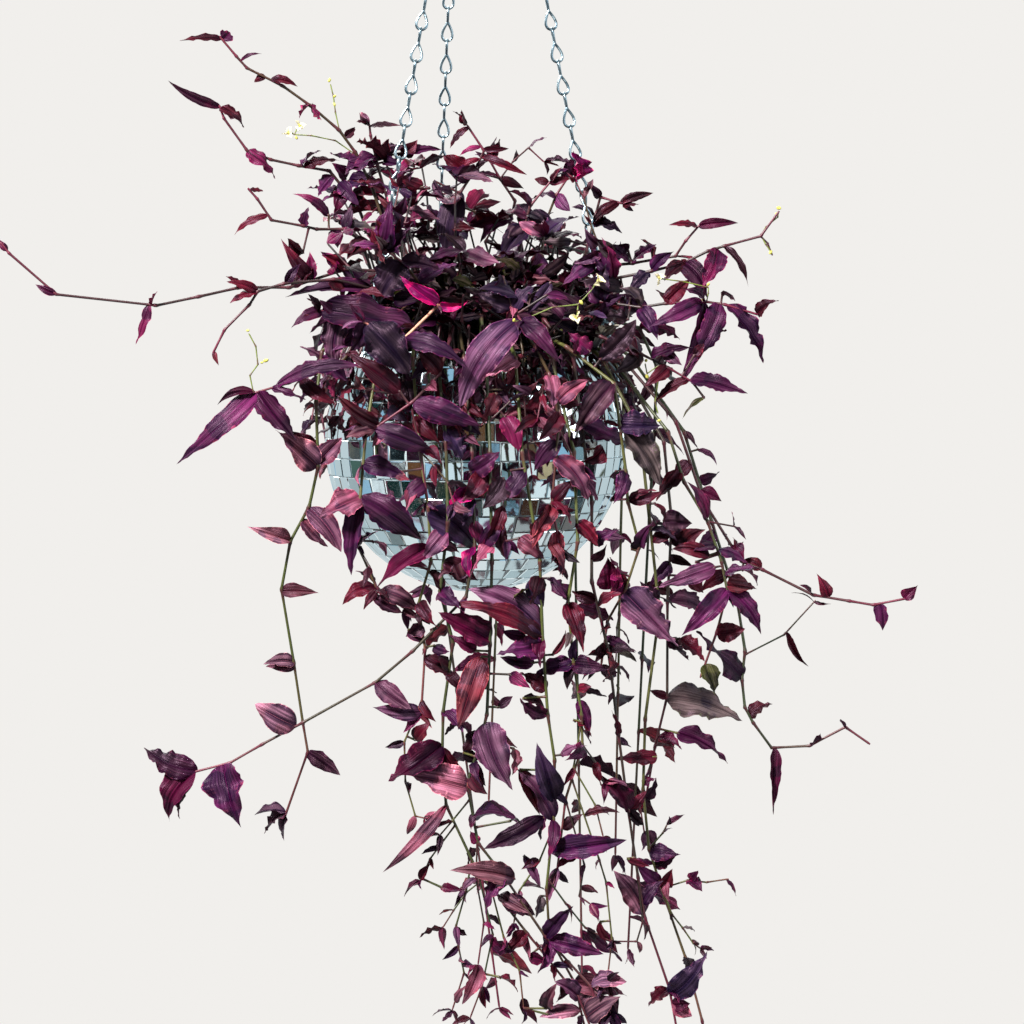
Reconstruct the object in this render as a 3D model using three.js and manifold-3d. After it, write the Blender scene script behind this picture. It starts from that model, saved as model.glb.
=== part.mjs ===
// A purple trailing tradescantia in a hanging mirror-tiled ball pot on three jack chains.
// Millimetres, +Z up, -Y to the front. The origin is the top of the hanging ring's inside.
import * as THREE from "three";
import { mergeVertices } from "three/addons/utils/BufferGeometryUtils.js";
import Module from "manifold-3d";

const wasm = await Module();
wasm.setup();

// Driving dimensions of the pot. A cutting body runs past the face that it cuts by cutPast.
const ballRadius = 100;
const rimHeight = 60;
const tileThickness = 1.5;
const tileRows = 16;
const tileColumns = 28;
const seatGap = 0.3;
const wallThickness = 4;
const wallRows = 6;
const wallColumns = 16;
const soilTop = 46;
const rootDepth = 12;
const cutPast = 1;

// Driving dimensions of the screw eyes.
const chainAzimuths = { left: -47, back: 197, right: 73 };
const eyeLatitude = 19.3;
const eyeStandoff = 5;
const eyeRadius = 4;
const wireRadius = 1;
const shankRadius = 1.1;
const shankDepth = 2.5;
const shankClearance = 0.4;
const washerRadius = 3.2;
const washerThickness = 1;

// Driving dimensions of the chains and the hanging ring. A link's outline is given in shares of its
// loop's length and half width, and its waist in wire radii. A chain turns to face the front over its
// first few links.
const linkPitch = 22;
const linkHalfWidth = 4;
const linkOverlap = 1;
const linkOutline = { shoulder: 0.6, end: 0.42, waist: 1.15 };
const twistLinks = 7;
const hookClearance = 2.45;
const ringSpots = { left: -8, back: -40, right: 45 };
const ringRadius = 16;
const ringWire = 1.5;
const ringClearance = 3;
const ringHeight = 495;
const chainRoom = 2.5;

// The front view that the stems are laid out in: pixels across and down, with the depth in millimetres.
const pixelsPerMm = 1.5;
const ballPixel = [475, 440];
const eyeDistance = 1700;
const eyeRise = 0.035;

// Driving dimensions of the stems.
const stemRadius = 1.2;
const stemTipRadius = 0.75;
const twigRadius = 0.7;
const stemSides = 3;
const nodeSpacing = 50;
const tipReach = 1.6;
const rootClearance = 0.7;
const stemClearance = 0.45;

// How a stem leaves the pot: straight up for the collar's height, to a crest over the rim, then over and
// down beside the ball at these distances and heights. A stem that starts above the upright height stays
// inside the rim.
const collarHeight = 5;
const uprightHeight = 110;
const crestRadius = 66;
const crestOutset = 4;
const crestHeights = [74, 86];
const crestShare = 0.6;
const overRim = [104, 56];
const overRimFrom = 30;
const besideBall = [113, 14];
const besideBallFrom = -11;
const azimuthShares = { overRim: 0.6, besideBall: 0.9 };

// A hidden stem's arch, in shares of its reach and drift, with its falls in millimetres.
const hiddenArch = { rise: 0.3, crown: 0.8, settle: 8, fall: 34, gather: 0.88 };
const hiddenDrift = { crown: 0.1, fall: 0.2 };

// Driving dimensions of the leaves. The blade's arch is a share of its length, its wave of its width, and
// its fold and ripple of its half width.
const leafThickness = 1.5;
const tipThinning = 0.7;
const thinFrom = 0.8;
const leafArch = 0.1;
const leafWave = 0.07;
const leafFold = 0.26;
const leafRipple = 0.05;
const leafSink = 0.2;
const largeLeaf = 58;
const smallLeaf = 31;
const smallestLeaf = 26;
const largeStations = [0.14, 0.4, 0.66, 0.88];
const middleStations = [0.18, 0.5, 0.82];
const smallStations = [0.25, 0.7];
const leafClearance = 0.35;
const stalkFrom = 4;
const stalkInBlade = 0.12;
const shownWidthGain = 1.08;
const leafFacing = { shown: { out: 0.35, front: 0.75, up: 0.5 }, hidden: { out: 0.8, front: 0, up: 0.5 } };
const tipDepths = [-12, 6];

// The turns in millimetres, rolls in radians and sizes that a leaf is tried at.
const leafTurns = [0, -7, 7, -14, 14, -22, 22, -31, 31];
const leafRolls = [0, 0.5, -0.5];
const leafScales = [1, 0.8, 0.62];

// Leaves that the front view doesn't show one by one: how bare a node must be, how often it gets a leaf
// on a hidden stem, and the ranges that its lengths and directions are drawn from.
const leafSpacing = 17;
const hiddenFill = 0.9;
const ruleLengths = { shown: 27, hidden: 32 };
const ruleRanges = {
  beside: [0.8, 1.2], ahead: [0.2, 0.7], out: [0.3, 0.8], up: [0.1, -0.4], size: [0.75, 1.35],
  width: [0.36, 0.48],
};
const stemSeed = 97;
const leafSeed = 7;
const nodeSeed = 11;
const ruleSeed = 500;

// Every stem that the front view shows. root is the azimuth and radius of its hole in the soil, path its
// nodes as pixels across, pixels down and depth. A leaf is the pixel of its base, of its tip, and its
// width in pixels. fill is how often a bare node gets a leaf by rule.
const shownStems = [
  { name: "stem_upper_left_long", root: [-112, 34],
    path: [[372, 185, 8], [356, 152, 2], [340, 130, -4], [312, 106, -10], [284, 86, -16], [248, 68, -22],
      [238, 57, -26], [222, 38, -30]],
    leaves: [[312, 106, 322, 120, 14], [310, 104, 300, 118, 12], [272, 78, 299, 87, 9],
      [268, 76, 255, 82, 9], [222, 42, 231, 32, 14], [222, 40, 181, 41, 9], [241, 61, 263, 54, 4],
      [344, 138, 356, 126, 8], [360, 160, 330, 152, 14], [368, 178, 395, 168, 15]] },
  { name: "stem_upper_left_low", root: [-128, 48],
    path: [[358, 205, 30], [330, 170, 26], [300, 165, 22], [272, 159, 18], [248, 150, 14], [225, 118, 10],
      [221, 107, 8]],
    leaves: [[248, 150, 276, 178, 16], [222, 106, 169, 80, 10], [222, 107, 245, 127, 12],
      [302, 164, 322, 150, 14], [304, 166, 341, 160, 12], [334, 176, 318, 196, 16],
      [350, 195, 322, 200, 16], [352, 196, 385, 190, 16]] },
  { name: "stem_left_fork", root: [-100, 52],
    path: [[362, 240, 0], [345, 228, -4], [317, 228, -8], [305, 225, -10], [272, 219, -14], [258, 198, -18],
      [250, 189, -20]],
    leaves: [[268, 214, 235, 234, 9], [305, 225, 309, 206, 12], [250, 189, 264, 190, 6],
      [329, 214, 293, 193, 10], [334, 228, 338, 247, 14], [345, 226, 378, 228, 12],
      [345, 228, 352, 203, 12], [360, 240, 330, 262, 16]] },
  { name: "stem_far_left", root: [-84, 58],
    path: [[384, 270, -20], [345, 268, -26], [290, 286, -34], [240, 286, -40], [200, 295, -46],
      [157, 304, -52], [57, 293, -60], [10, 252, -64], [3, 243, -65]],
    leaves: [[150, 302, 136, 343, 11], [57, 293, 36, 283, 8], [8, 250, 0, 238, 7], [152, 303, 158, 290, 6],
      [292, 285, 318, 262, 12], [240, 286, 226, 275, 8], [312, 279, 281, 237, 14],
      [312, 279, 310, 250, 13], [345, 268, 320, 250, 16], [345, 270, 372, 290, 18]] },
  { name: "stem_left_second", root: [-74, 44],
    path: [[384, 290, -44], [335, 278, -54], [285, 282, -60], [258, 290, -63], [250, 303, -64],
      [225, 328, -66], [214, 350, -66]],
    leaves: [[258, 289, 226, 280, 10], [258, 292, 230, 302, 9], [214, 350, 219, 364, 5],
      [330, 279, 346, 297, 16], [285, 282, 302, 262, 10], [372, 288, 285, 296, 16]] },
  { name: "stem_left_star", root: [-58, 58],
    path: [[340, 362, -56], [316, 372, -78], [290, 381, -97], [256, 391, -100]],
    leaves: [[253, 393, 176, 463, 24], [258, 392, 297, 440, 22], [275, 386, 361, 364, 16],
      [250, 392, 217, 404, 9], [300, 378, 335, 402, 14], [330, 366, 300, 345, 14]] },
  { name: "stem_top_left", root: [-146, 28],
    path: [[392, 215, 8], [378, 165, 4], [371, 135, 2], [370, 126, 0]],
    leaves: [[371, 126, 402, 125, 8], [370, 126, 356, 122, 7], [376, 160, 342, 168, 13],
      [376, 156, 404, 146, 12], [384, 190, 352, 180, 16], [386, 195, 417, 184, 15]] },
  { name: "stem_top_centre", root: [176, 18],
    path: [[452, 215, 6], [460, 192, 4], [476, 168, 0], [484, 150, -2], [468, 126, -4]],
    leaves: [[468, 127, 450, 148, 7], [481, 146, 459, 156, 6], [484, 148, 509, 148, 7],
      [480, 158, 455, 178, 9], [484, 158, 527, 174, 9], [468, 180, 440, 164, 12],
      [462, 192, 447, 255, 26], [456, 200, 432, 190, 16]] },
  { name: "stem_top_middle", root: [150, 30],
    path: [[508, 230, 30], [515, 200, 28], [500, 178, 26], [490, 160, 24]],
    leaves: [[500, 178, 474, 172, 10], [515, 205, 545, 230, 15], [512, 215, 480, 242, 16],
      [500, 178, 524, 188, 10], [490, 160, 500, 138, 9]] },
  { name: "stem_top_heart", root: [118, 42],
    path: [[545, 222, 34], [556, 194, 32], [568, 176, 30]],
    leaves: [[568, 178, 573, 150, 19], [556, 194, 570, 210, 13], [556, 194, 530, 200, 12],
      [548, 214, 520, 222, 16]] },
  { name: "stem_top_pair", root: [96, 20],
    path: [[522, 235, 4], [530, 205, 2], [549, 182, 0]],
    leaves: [[549, 182, 534, 178, 8], [549, 182, 572, 178, 8], [530, 206, 506, 190, 14],
      [527, 215, 556, 226, 16], [524, 225, 500, 262, 20]] },
  { name: "stem_top_right", root: [78, 44],
    path: [[586, 250, -8], [595, 215, -10], [600, 196, -12], [620, 202, -16]],
    leaves: [[620, 201, 653, 192, 9], [618, 204, 590, 226, 12], [600, 196, 586, 180, 9],
      [595, 215, 571, 206, 12], [592, 225, 622, 232, 15]] },
  { name: "stem_right_upper", root: [94, 58],
    path: [[600, 265, 10], [632, 262, 6], [655, 258, 2], [675, 255, -2], [685, 240, -6], [698, 225, -8]],
    leaves: [[698, 226, 668, 224, 8], [698, 225, 738, 222, 10], [675, 255, 700, 263, 9],
      [652, 258, 640, 238, 14], [632, 262, 656, 243, 14], [630, 262, 606, 243, 14],
      [602, 265, 620, 240, 16], [610, 264, 590, 290, 18]] },
  { name: "stem_right_flower", root: [62, 44], twigs: [[[760, 235], [767, 242], [771, 252]]],
    path: [[610, 278, -46], [650, 270, -50], [683, 262, -52], [707, 250, -54], [723, 245, -54],
      [760, 235, -56], [777, 212, -58]],
    leaves: [[723, 244, 748, 286, 8], [716, 246, 702, 287, 20], [683, 264, 707, 297, 20],
      [652, 270, 674, 250, 13], [648, 270, 628, 292, 15], [683, 262, 664, 280, 14]] },
  { name: "stem_right_main", root: [76, 54],
    path: [[600, 300, -50], [640, 306, -58], [665, 302, -62], [703, 300, -66], [724, 303, -68],
      [757, 313, -70]],
    leaves: [[703, 301, 648, 326, 18], [719, 303, 686, 364, 22], [725, 306, 763, 362, 20],
      [757, 313, 779, 299, 14], [665, 302, 690, 278, 16], [640, 306, 658, 340, 17],
      [703, 304, 680, 384, 17], [640, 306, 618, 286, 18]] },
  { name: "stem_right_low", root: [42, 56],
    path: [[600, 335, -76], [640, 352, -84], [668, 366, -88], [690, 379, -90]],
    leaves: [[690, 378, 748, 392, 18], [688, 382, 655, 400, 14], [666, 368, 644, 386, 14],
      [640, 352, 616, 330, 18], [652, 357, 692, 346, 15], [640, 354, 612, 372, 18]] },
  { name: "stem_front_left", root: [-40, 40],
    path: [[402, 330, -84], [365, 316, -98], [322, 309, -106]],
    leaves: [[322, 310, 434, 333, 34], [342, 318, 336, 366, 25], [320, 308, 291, 327, 13],
      [372, 318, 330, 350, 20]] },
  { name: "stem_front_high", root: [-50, 24],
    path: [[424, 288, -66], [404, 262, -90], [385, 248, -102]],
    leaves: [[402, 262, 378, 302, 34], [404, 256, 441, 269, 17], [385, 248, 352, 244, 15],
      [386, 249, 372, 226, 12], [420, 280, 462, 262, 18]] },
  { name: "stem_front_magenta", root: [-22, 54],
    path: [[455, 312, -90], [438, 304, -104], [403, 338, -118], [366, 322, -126]],
    leaves: [[438, 304, 400, 274, 16], [440, 304, 468, 300, 9], [367, 322, 411, 373, 38],
      [403, 338, 472, 371, 21], [368, 322, 350, 350, 20]] },
  { name: "stem_front_low", root: [-14, 48],
    path: [[450, 337, -90], [440, 372, -112], [413, 400, -118], [373, 428, -122]],
    leaves: [[413, 400, 482, 425, 25], [375, 428, 432, 448, 23], [400, 390, 344, 350, 22],
      [378, 424, 336, 393, 15], [440, 372, 418, 350, 18], [374, 428, 346, 436, 14]] },
  { name: "stem_front_big", root: [4, 36],
    path: [[500, 335, -76], [512, 306, -98], [520, 318, -108]],
    leaves: [[519, 320, 460, 406, 33], [522, 320, 562, 366, 20], [510, 306, 478, 292, 18],
      [514, 306, 540, 284, 17]] },
  { name: "stem_front_pink", root: [19, 54],
    path: [[535, 345, -86], [549, 372, -112], [560, 410, -118], [556, 455, -120], [552, 505, -120],
      [560, 545, -118]],
    leaves: [[548, 374, 553, 407, 17], [556, 455, 589, 506, 22], [560, 412, 538, 440, 16],
      [552, 505, 530, 540, 15], [556, 530, 563, 576, 15], [558, 440, 534, 470, 18],
      [552, 500, 574, 478, 14], [562, 400, 590, 378, 17]] },
  { name: "stem_front_right", root: [33, 58], fill: 0.5,
    path: [[566, 345, -92], [614, 382, -104], [620, 424, -106], [626, 470, -104], [628, 500, -100],
      [640, 545, -96], [626, 588, -94], [608, 620, -92], [602, 662, -90]],
    leaves: [[612, 382, 574, 432, 26], [620, 426, 661, 485, 28], [620, 424, 662, 424, 26],
      [590, 350, 567, 330, 18], [600, 358, 636, 318, 20], [625, 470, 613, 503, 16],
      [622, 590, 679, 646, 40], [628, 498, 662, 490, 12], [620, 590, 610, 556, 28],
      [606, 636, 637, 653, 11], [604, 645, 586, 655, 10], [640, 545, 655, 520, 13]] },
  { name: "stem_front_cluster", root: [-42, 69],
    path: [[366, 430, -108], [360, 497, -112], [358, 545, -108], [376, 586, -104], [402, 606, -100]],
    leaves: [[358, 496, 318, 516, 30], [359, 500, 351, 575, 20], [364, 496, 421, 538, 30],
      [376, 586, 342, 604, 16], [380, 590, 420, 612, 20], [372, 582, 355, 570, 12],
      [363, 462, 410, 478, 19], [366, 434, 352, 408, 14], [358, 545, 378, 530, 12]] },
  { name: "stem_left_vertical", root: [-66, 69],
    path: [[322, 350, -78], [316, 400, -84], [318, 465, -86], [309, 505, -84], [290, 540, -82],
      [281, 588, -79], [293, 661, -75], [302, 722, -73], [307, 752, -72], [284, 817, -70]],
    leaves: [[309, 507, 341, 551, 22], [290, 540, 246, 525, 16], [281, 590, 319, 592, 14],
      [294, 661, 262, 664, 14], [307, 752, 340, 776, 16], [284, 815, 283, 842, 16],
      [285, 814, 253, 816, 14], [318, 465, 275, 428, 27], [316, 450, 290, 428, 18],
      [318, 462, 342, 436, 20], [318, 380, 300, 402, 14], [321, 355, 348, 380, 18]] },
  { name: "stem_long_lower_left", root: [-8, 70],
    path: [[472, 450, -114], [475, 545, -118], [466, 596, -116], [413, 650, -112], [375, 682, -108],
      [303, 722, -102], [262, 744, -99], [229, 763, -97], [194, 772, -95]],
    leaves: [[375, 681, 411, 709, 21], [295, 726, 254, 704, 27], [222, 765, 240, 829, 38],
      [196, 771, 142, 748, 25], [193, 772, 168, 823, 30], [484, 470, 462, 500, 20],
      [482, 545, 504, 515, 16]] },
  { name: "stem_trail_left", root: [-30, 69], fill: 0.4,
    path: [[420, 450, -112], [428, 505, -116], [431, 560, -114], [418, 604, -110], [425, 648, -106],
      [421, 712, -104]],
    leaves: [[430, 508, 486, 545, 34], [430, 545, 377, 587, 19], [421, 712, 372, 707, 18],
      [420, 622, 405, 636, 16], [418, 604, 430, 624, 13], [424, 480, 398, 500, 18],
      [424, 700, 436, 722, 10]] },
  { name: "stem_trail_lower_left", root: [-19, 67], fill: 0.5,
    path: [[446, 440, -114], [448, 520, -118], [440, 590, -114], [453, 642, -110], [443, 712, -107],
      [442, 760, -106], [446, 806, -106], [475, 868, -106], [495, 893, -106], [527, 935, -105],
      [579, 1000, -104], [600, 1052, -104]],
    leaves: [[436, 745, 388, 782, 30], [440, 748, 464, 774, 20], [450, 668, 428, 655, 16],
      [448, 672, 460, 690, 14], [444, 806, 382, 874, 13], [503, 900, 536, 918, 18],
      [515, 880, 446, 877, 21], [446, 530, 420, 560, 20], [448, 560, 478, 580, 18],
      [527, 935, 505, 957, 16], [579, 1000, 555, 985, 18], [590, 1020, 622, 1000, 24]] },
  { name: "stem_trail_centre", root: [3, 68], fill: 0.5,
    path: [[490, 450, -116], [492, 560, -119], [490, 643, -114], [487, 714, -111], [481, 739, -110],
      [467, 785, -109], [478, 844, -108], [503, 876, -108], [545, 938, -107], [592, 990, -106],
      [612, 1048, -106]],
    leaves: [[491, 724, 513, 791, 34], [482, 656, 458, 730, 26], [468, 789, 409, 776, 34],
      [484, 735, 462, 755, 18], [478, 844, 470, 832, 10], [488, 640, 436, 614, 28],
      [545, 940, 574, 908, 15], [550, 942, 605, 957, 19], [470, 470, 500, 450, 20],
      [486, 545, 470, 575, 18], [592, 990, 628, 985, 18]] },
  { name: "stem_trail_middle", root: [14, 70], fill: 0.4,
    path: [[522, 450, -116], [540, 560, -118], [543, 640, -113], [548, 714, -110], [555, 760, -108],
      [554, 820, -106], [547, 890, -104], [550, 940, -98], [575, 985, -92], [590, 1050, -88]],
    leaves: [[540, 633, 468, 588, 34], [540, 636, 452, 606, 22], [542, 646, 496, 654, 23],
      [548, 714, 520, 698, 15], [557, 802, 537, 742, 24], [553, 820, 514, 767, 22],
      [548, 820, 548, 862, 12], [545, 818, 484, 850, 19], [556, 853, 628, 841, 24],
      [541, 575, 530, 605, 18], [524, 470, 500, 500, 20], [536, 540, 548, 505, 14],
      [543, 690, 520, 672, 16]] },
  { name: "stem_trail_star", root: [26, 69], fill: 0.3,
    path: [[574, 450, -112], [578, 540, -116], [568, 602, -112], [574, 662, -109], [582, 715, -107],
      [583, 745, -106], [566, 800, -106], [558, 870, -98]],
    leaves: [[573, 664, 533, 676, 19], [576, 664, 611, 669, 19], [574, 660, 576, 638, 9],
      [570, 602, 584, 652, 19], [566, 600, 546, 577, 17], [580, 700, 590, 738, 13],
      [580, 690, 592, 686, 12], [576, 470, 598, 500, 17], [578, 520, 598, 545, 15]] },
  { name: "stem_trail_long", root: [38, 68], fill: 0.3,
    path: [[592, 500, -100], [592, 580, -100], [609, 651, -97], [619, 733, -95], [629, 810, -93],
      [639, 878, -92], [646, 919, -91], [671, 992, -90], [682, 1052, -90]],
    leaves: [[632, 812, 594, 773, 19], [645, 916, 614, 872, 24], [673, 998, 709, 954, 25],
      [630, 812, 648, 790, 13], [620, 735, 612, 710, 8], [645, 905, 665, 882, 16],
      [597, 600, 572, 590, 14], [592, 540, 620, 528, 15], [671, 992, 650, 1010, 14]] },
  { name: "stem_trail_right", root: [51, 69], fill: 0.3,
    twigs: [[[664, 890], [689, 882], [708, 884], [728, 881]]],
    path: [[640, 430, -84], [650, 520, -86], [660, 610, -82], [646, 718, -78], [644, 790, -76],
      [650, 850, -74], [666, 900, -72], [687, 960, -70], [704, 1024, -69], [712, 1068, -69]],
    leaves: [[658, 757, 616, 759, 15], [644, 800, 657, 778, 13], [650, 852, 682, 856, 18],
      [652, 866, 626, 861, 8], [690, 882, 704, 894, 16], [692, 882, 700, 872, 12],
      [728, 881, 738, 898, 7], [658, 885, 636, 862, 14], [660, 890, 674, 870, 13],
      [652, 540, 676, 530, 14], [658, 600, 640, 580, 15]] },
  { name: "stem_right_grey", root: [62, 69], fill: 0.3,
    path: [[664, 440, -66], [672, 520, -68], [668, 600, -66], [668, 696, -62], [656, 746, -60],
      [648, 792, -56]],
    leaves: [[670, 697, 744, 721, 36], [678, 733, 729, 764, 20], [668, 697, 650, 690, 9],
      [670, 540, 700, 528, 16], [671, 560, 650, 585, 14], [656, 746, 676, 748, 12],
      [668, 640, 690, 660, 18]] },
  { name: "stem_right_star", root: [56, 60], fill: 0.3, twigs: [[[709, 520], [734, 525]]],
    path: [[668, 430, -80], [684, 480, -86], [708, 520, -90], [722, 560, -92], [728, 590, -92],
      [718, 630, -90], [702, 675, -88]],
    leaves: [[727, 588, 682, 635, 21], [729, 588, 762, 634, 21], [724, 574, 764, 567, 16],
      [716, 566, 654, 587, 18], [728, 584, 758, 588, 20], [708, 518, 687, 480, 17],
      [734, 525, 732, 510, 5], [734, 525, 747, 539, 6], [716, 545, 693, 550, 16],
      [720, 548, 748, 562, 16], [708, 664, 716, 696, 20], [718, 632, 746, 628, 19],
      [680, 470, 656, 500, 18]] },
  { name: "stem_far_right", root: [68, 61],
    path: [[676, 420, -60], [704, 500, -62], [742, 560, -64], [762, 568, -67], [814, 594, -74],
      [850, 600, -78], [874, 604, -80], [905, 598, -84]],
    leaves: [[830, 596, 817, 572, 13], [882, 602, 884, 630, 15], [905, 598, 919, 584, 13],
      [762, 568, 745, 558, 12], [738, 554, 733, 536, 13], [700, 490, 722, 500, 14],
      [690, 460, 672, 480, 15], [812, 594, 800, 584, 6]] },
  { name: "stem_right_fork", root: [85, 66], twigs: [[[744, 654], [785, 634], [815, 601]]],
    path: [[684, 430, -14], [712, 520, -24], [738, 600, -32], [746, 650, -36], [743, 679, -38],
      [746, 707, -40], [754, 722, -41], [773, 748, -42], [811, 746, -46], [847, 727, -50],
      [870, 743, -52]],
    leaves: [[751, 718, 774, 704, 17], [776, 748, 775, 816, 13], [815, 746, 822, 733, 15],
      [847, 728, 842, 719, 5], [745, 677, 697, 630, 28], [789, 633, 810, 666, 7],
      [815, 601, 792, 592, 4], [815, 601, 832, 603, 4], [722, 550, 744, 540, 14],
      [700, 480, 720, 470, 13], [716, 530, 698, 548, 13]] },
];

// Stems at the back and among the others: azimuth and radius of the hole, then how far out and how high
// the crest arches, the hanging length below it, and its sideways drift.
const hiddenStems = [
  { name: "stem_back_right_long", root: [104, 64], reach: 128, crest: 84, drop: 400, drift: 16 },
  { name: "stem_back_right", root: [124, 66], reach: 122, crest: 78, drop: 330, drift: -14 },
  { name: "stem_back_middle_right", root: [146, 64], reach: 116, crest: 80, drop: 440, drift: -22 },
  { name: "stem_back_middle", root: [168, 66], reach: 118, crest: 76, drop: 300, drift: 12 },
  { name: "stem_back_middle_left", root: [-150, 62], reach: 114, crest: 82, drop: 460, drift: -78 },
  { name: "stem_back_left", root: [-138, 66], reach: 118, crest: 78, drop: 100, drift: -14 },
  { name: "stem_back_left_short", root: [-116, 64], reach: 122, crest: 82, drop: 60, drift: 8 },
  { name: "stem_crown_back_right", root: [136, 50], reach: 150, crest: 134, drop: 70, drift: 20 },
  { name: "stem_crown_back", root: [178, 46], reach: 140, crest: 122, drop: 90, drift: -18 },
  { name: "stem_crown_back_left", root: [-148, 50], reach: 156, crest: 116, drop: 60, drift: 16 },
];

const vector = (x, y, z) => new THREE.Vector3(x, y, z);
const mix = (a, b, t) => a + (b - a) * t;
const radians = THREE.MathUtils.degToRad;
const outward = (azimuth) => vector(Math.sin(radians(azimuth)), -Math.cos(radians(azimuth)), 0);
const around = (azimuth, radius, z) => outward(azimuth).multiplyScalar(radius).setZ(z);

// A repeatable draw between 0 and 1, and one from a range.
const draw = (seed) => {
  const value = Math.sin(seed * 12.9898 + 78.233) * 43758.5453;
  return value - Math.floor(value);
};
const drawFrom = ([low, high], seed) => mix(low, high, draw(seed));

// The point at a depth that the front view shows at a pixel.
const seen = (across, down, depth) => {
  const scale = (1 + depth / eyeDistance) / pixelsPerMm;
  return vector((across - ballPixel[0]) * scale, depth, (ballPixel[1] - down) * scale - depth * eyeRise);
};

// A closed three.js geometry as a solid, its shared vertices merged.
function solidOf(geometry) {
  geometry.deleteAttribute("normal");
  geometry.deleteAttribute("uv");
  const merged = mergeVertices(geometry, 1e-4);
  return new wasm.Manifold(new wasm.Mesh({
    numProp: 3,
    vertProperties: new Float32Array(merged.attributes.position.array),
    triVerts: new Uint32Array(merged.index.array),
  }));
}

// A solid as a named mesh with its own material.
function piece(name, solid, { colour, roughness, metalness = 0 }) {
  const mesh = solid.getMesh();
  const geometry = new THREE.BufferGeometry();
  geometry.setAttribute("position", new THREE.BufferAttribute(mesh.vertProperties, mesh.numProp));
  geometry.setIndex(new THREE.BufferAttribute(mesh.triVerts, 1));
  geometry.computeVertexNormals();
  const material = new THREE.MeshStandardMaterial({ color: colour, roughness, metalness });
  const made = new THREE.Mesh(geometry, material);
  made.name = name;
  return made;
}

const geometryOf = (points, triangles) => new THREE.BufferGeometry()
  .setAttribute("position", new THREE.Float32BufferAttribute(points.flatMap((p) => p.toArray()), 3))
  .setIndex(triangles);

// A vector with its part along a heading taken out, at unit length.
const squareTo = (side, heading) => side.clone().addScaledVector(heading, -side.dot(heading)).normalize();

// The corners of a regular section round a point.
function sectionAt(point, across, heading, radius, sides, twist = 0) {
  const beside = heading.clone().cross(across);
  return Array.from({ length: sides }, (_, k) => {
    const turn = (2 * Math.PI * k) / sides + twist;
    return point.clone()
      .addScaledVector(across, radius * Math.cos(turn))
      .addScaledVector(beside, radius * Math.sin(turn));
  });
}

// The two triangles for each side between a section and the next.
function sleeveBetween(from, to, sides) {
  return Array.from({ length: sides }, (_, k) => {
    const turned = (k + 1) % sides;
    return [from + k, from + turned, to + turned, from + k, to + turned, to + k];
  }).flat();
}

// A rod along a polyline: sections square to the bend, a flat cap at each end.
function rodSolid(points, radii, sides) {
  const last = points.length - 1;
  const corners = [];
  const triangles = [];
  let across = null;
  points.forEach((point, i) => {
    const arriving = point.clone().sub(points[Math.max(i - 1, 0)]).normalize();
    const leaving = points[Math.min(i + 1, last)].clone().sub(point).normalize();
    const heading = arriving.add(leaving).normalize();
    const upright = Math.abs(heading.z) > Math.hypot(heading.x, heading.y);
    across = squareTo(across ?? (upright ? vector(1, 0, 0) : vector(0, 0, 1)), heading);
    corners.push(...sectionAt(point, across, heading, radii[i], sides));
  });
  for (let i = 0; i < last; i += 1) triangles.push(...sleeveBetween(i * sides, (i + 1) * sides, sides));
  for (let k = 1; k < sides - 1; k += 1) {
    triangles.push(0, k + 1, k, last * sides, last * sides + k, last * sides + k + 1);
  }
  return solidOf(geometryOf(corners, triangles));
}

// A closed loop of wire: the section is carried along without twist, and what twist is left over at the
// closing is shared out among the points.
function loopSolid(points, radius, sides) {
  const count = points.length;
  const headings = points.map((_, i) => points[(i + 1) % count].clone()
    .sub(points[(i + count - 1) % count]).normalize());
  const acrosses = [squareTo(points[0].clone().sub(points[count >> 1]), headings[0])];
  for (let i = 1; i <= count; i += 1) acrosses.push(squareTo(acrosses[i - 1], headings[i % count]));
  const closing = acrosses[count];
  const slip = Math.atan2(closing.clone().cross(acrosses[0]).dot(headings[0]), closing.dot(acrosses[0]));
  const corners = points.flatMap((point, i) =>
    sectionAt(point, acrosses[i], headings[i], radius, sides, (slip * i) / count));
  const triangles = points.flatMap((_, i) =>
    sleeveBetween(i * sides, ((i + 1) % count) * sides, sides));
  return solidOf(geometryOf(corners, triangles));
}

// A straight hole or pin from one point to another.
const pinSolid = (from, to, radius, sides) => rodSolid([from, to], [radius, radius], sides);

// The pot: a mirror-tiled skin over a moulded bowl, both cut off flat at the rim.

// A bowl's outer form: an arc from the bottom pole up to the rim's latitude, then straight up to a lid.
function bowlSolid(radius, rows, columns, lid) {
  const rimTurn = Math.PI - Math.acos(rimHeight / ballRadius);
  const profile = [];
  for (let i = 0; i <= rows; i += 1) {
    const turn = (rimTurn * i) / rows;
    profile.push(new THREE.Vector2(i ? radius * Math.sin(turn) : 0, -radius * Math.cos(turn)));
  }
  while (profile.at(-2).y > lid) profile.pop();
  const [below, top] = profile.slice(-2);
  if (top.y > lid) top.lerpVectors(below, top.clone(), (lid - below.y) / (top.y - below.y));
  else if (top.y < lid) profile.push(new THREE.Vector2(top.x, lid));
  profile.push(new THREE.Vector2(0, lid));
  return solidOf(new THREE.LatheGeometry(profile, columns).rotateX(Math.PI / 2));
}

const eyes = Object.fromEntries(Object.entries(chainAzimuths).map(([side, azimuth]) => {
  const latitude = radians(eyeLatitude);
  const normal = outward(azimuth).multiplyScalar(Math.cos(latitude)).setZ(Math.sin(latitude));
  const centre = normal.clone().multiplyScalar(ballRadius + eyeStandoff);
  return [side, { azimuth, normal, centre }];
}));

const tileInside = ballRadius - tileThickness;
const wallOutside = tileInside - seatGap;
const wallInside = wallOutside - wallThickness;
const shankInside = wallOutside - shankDepth;

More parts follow.
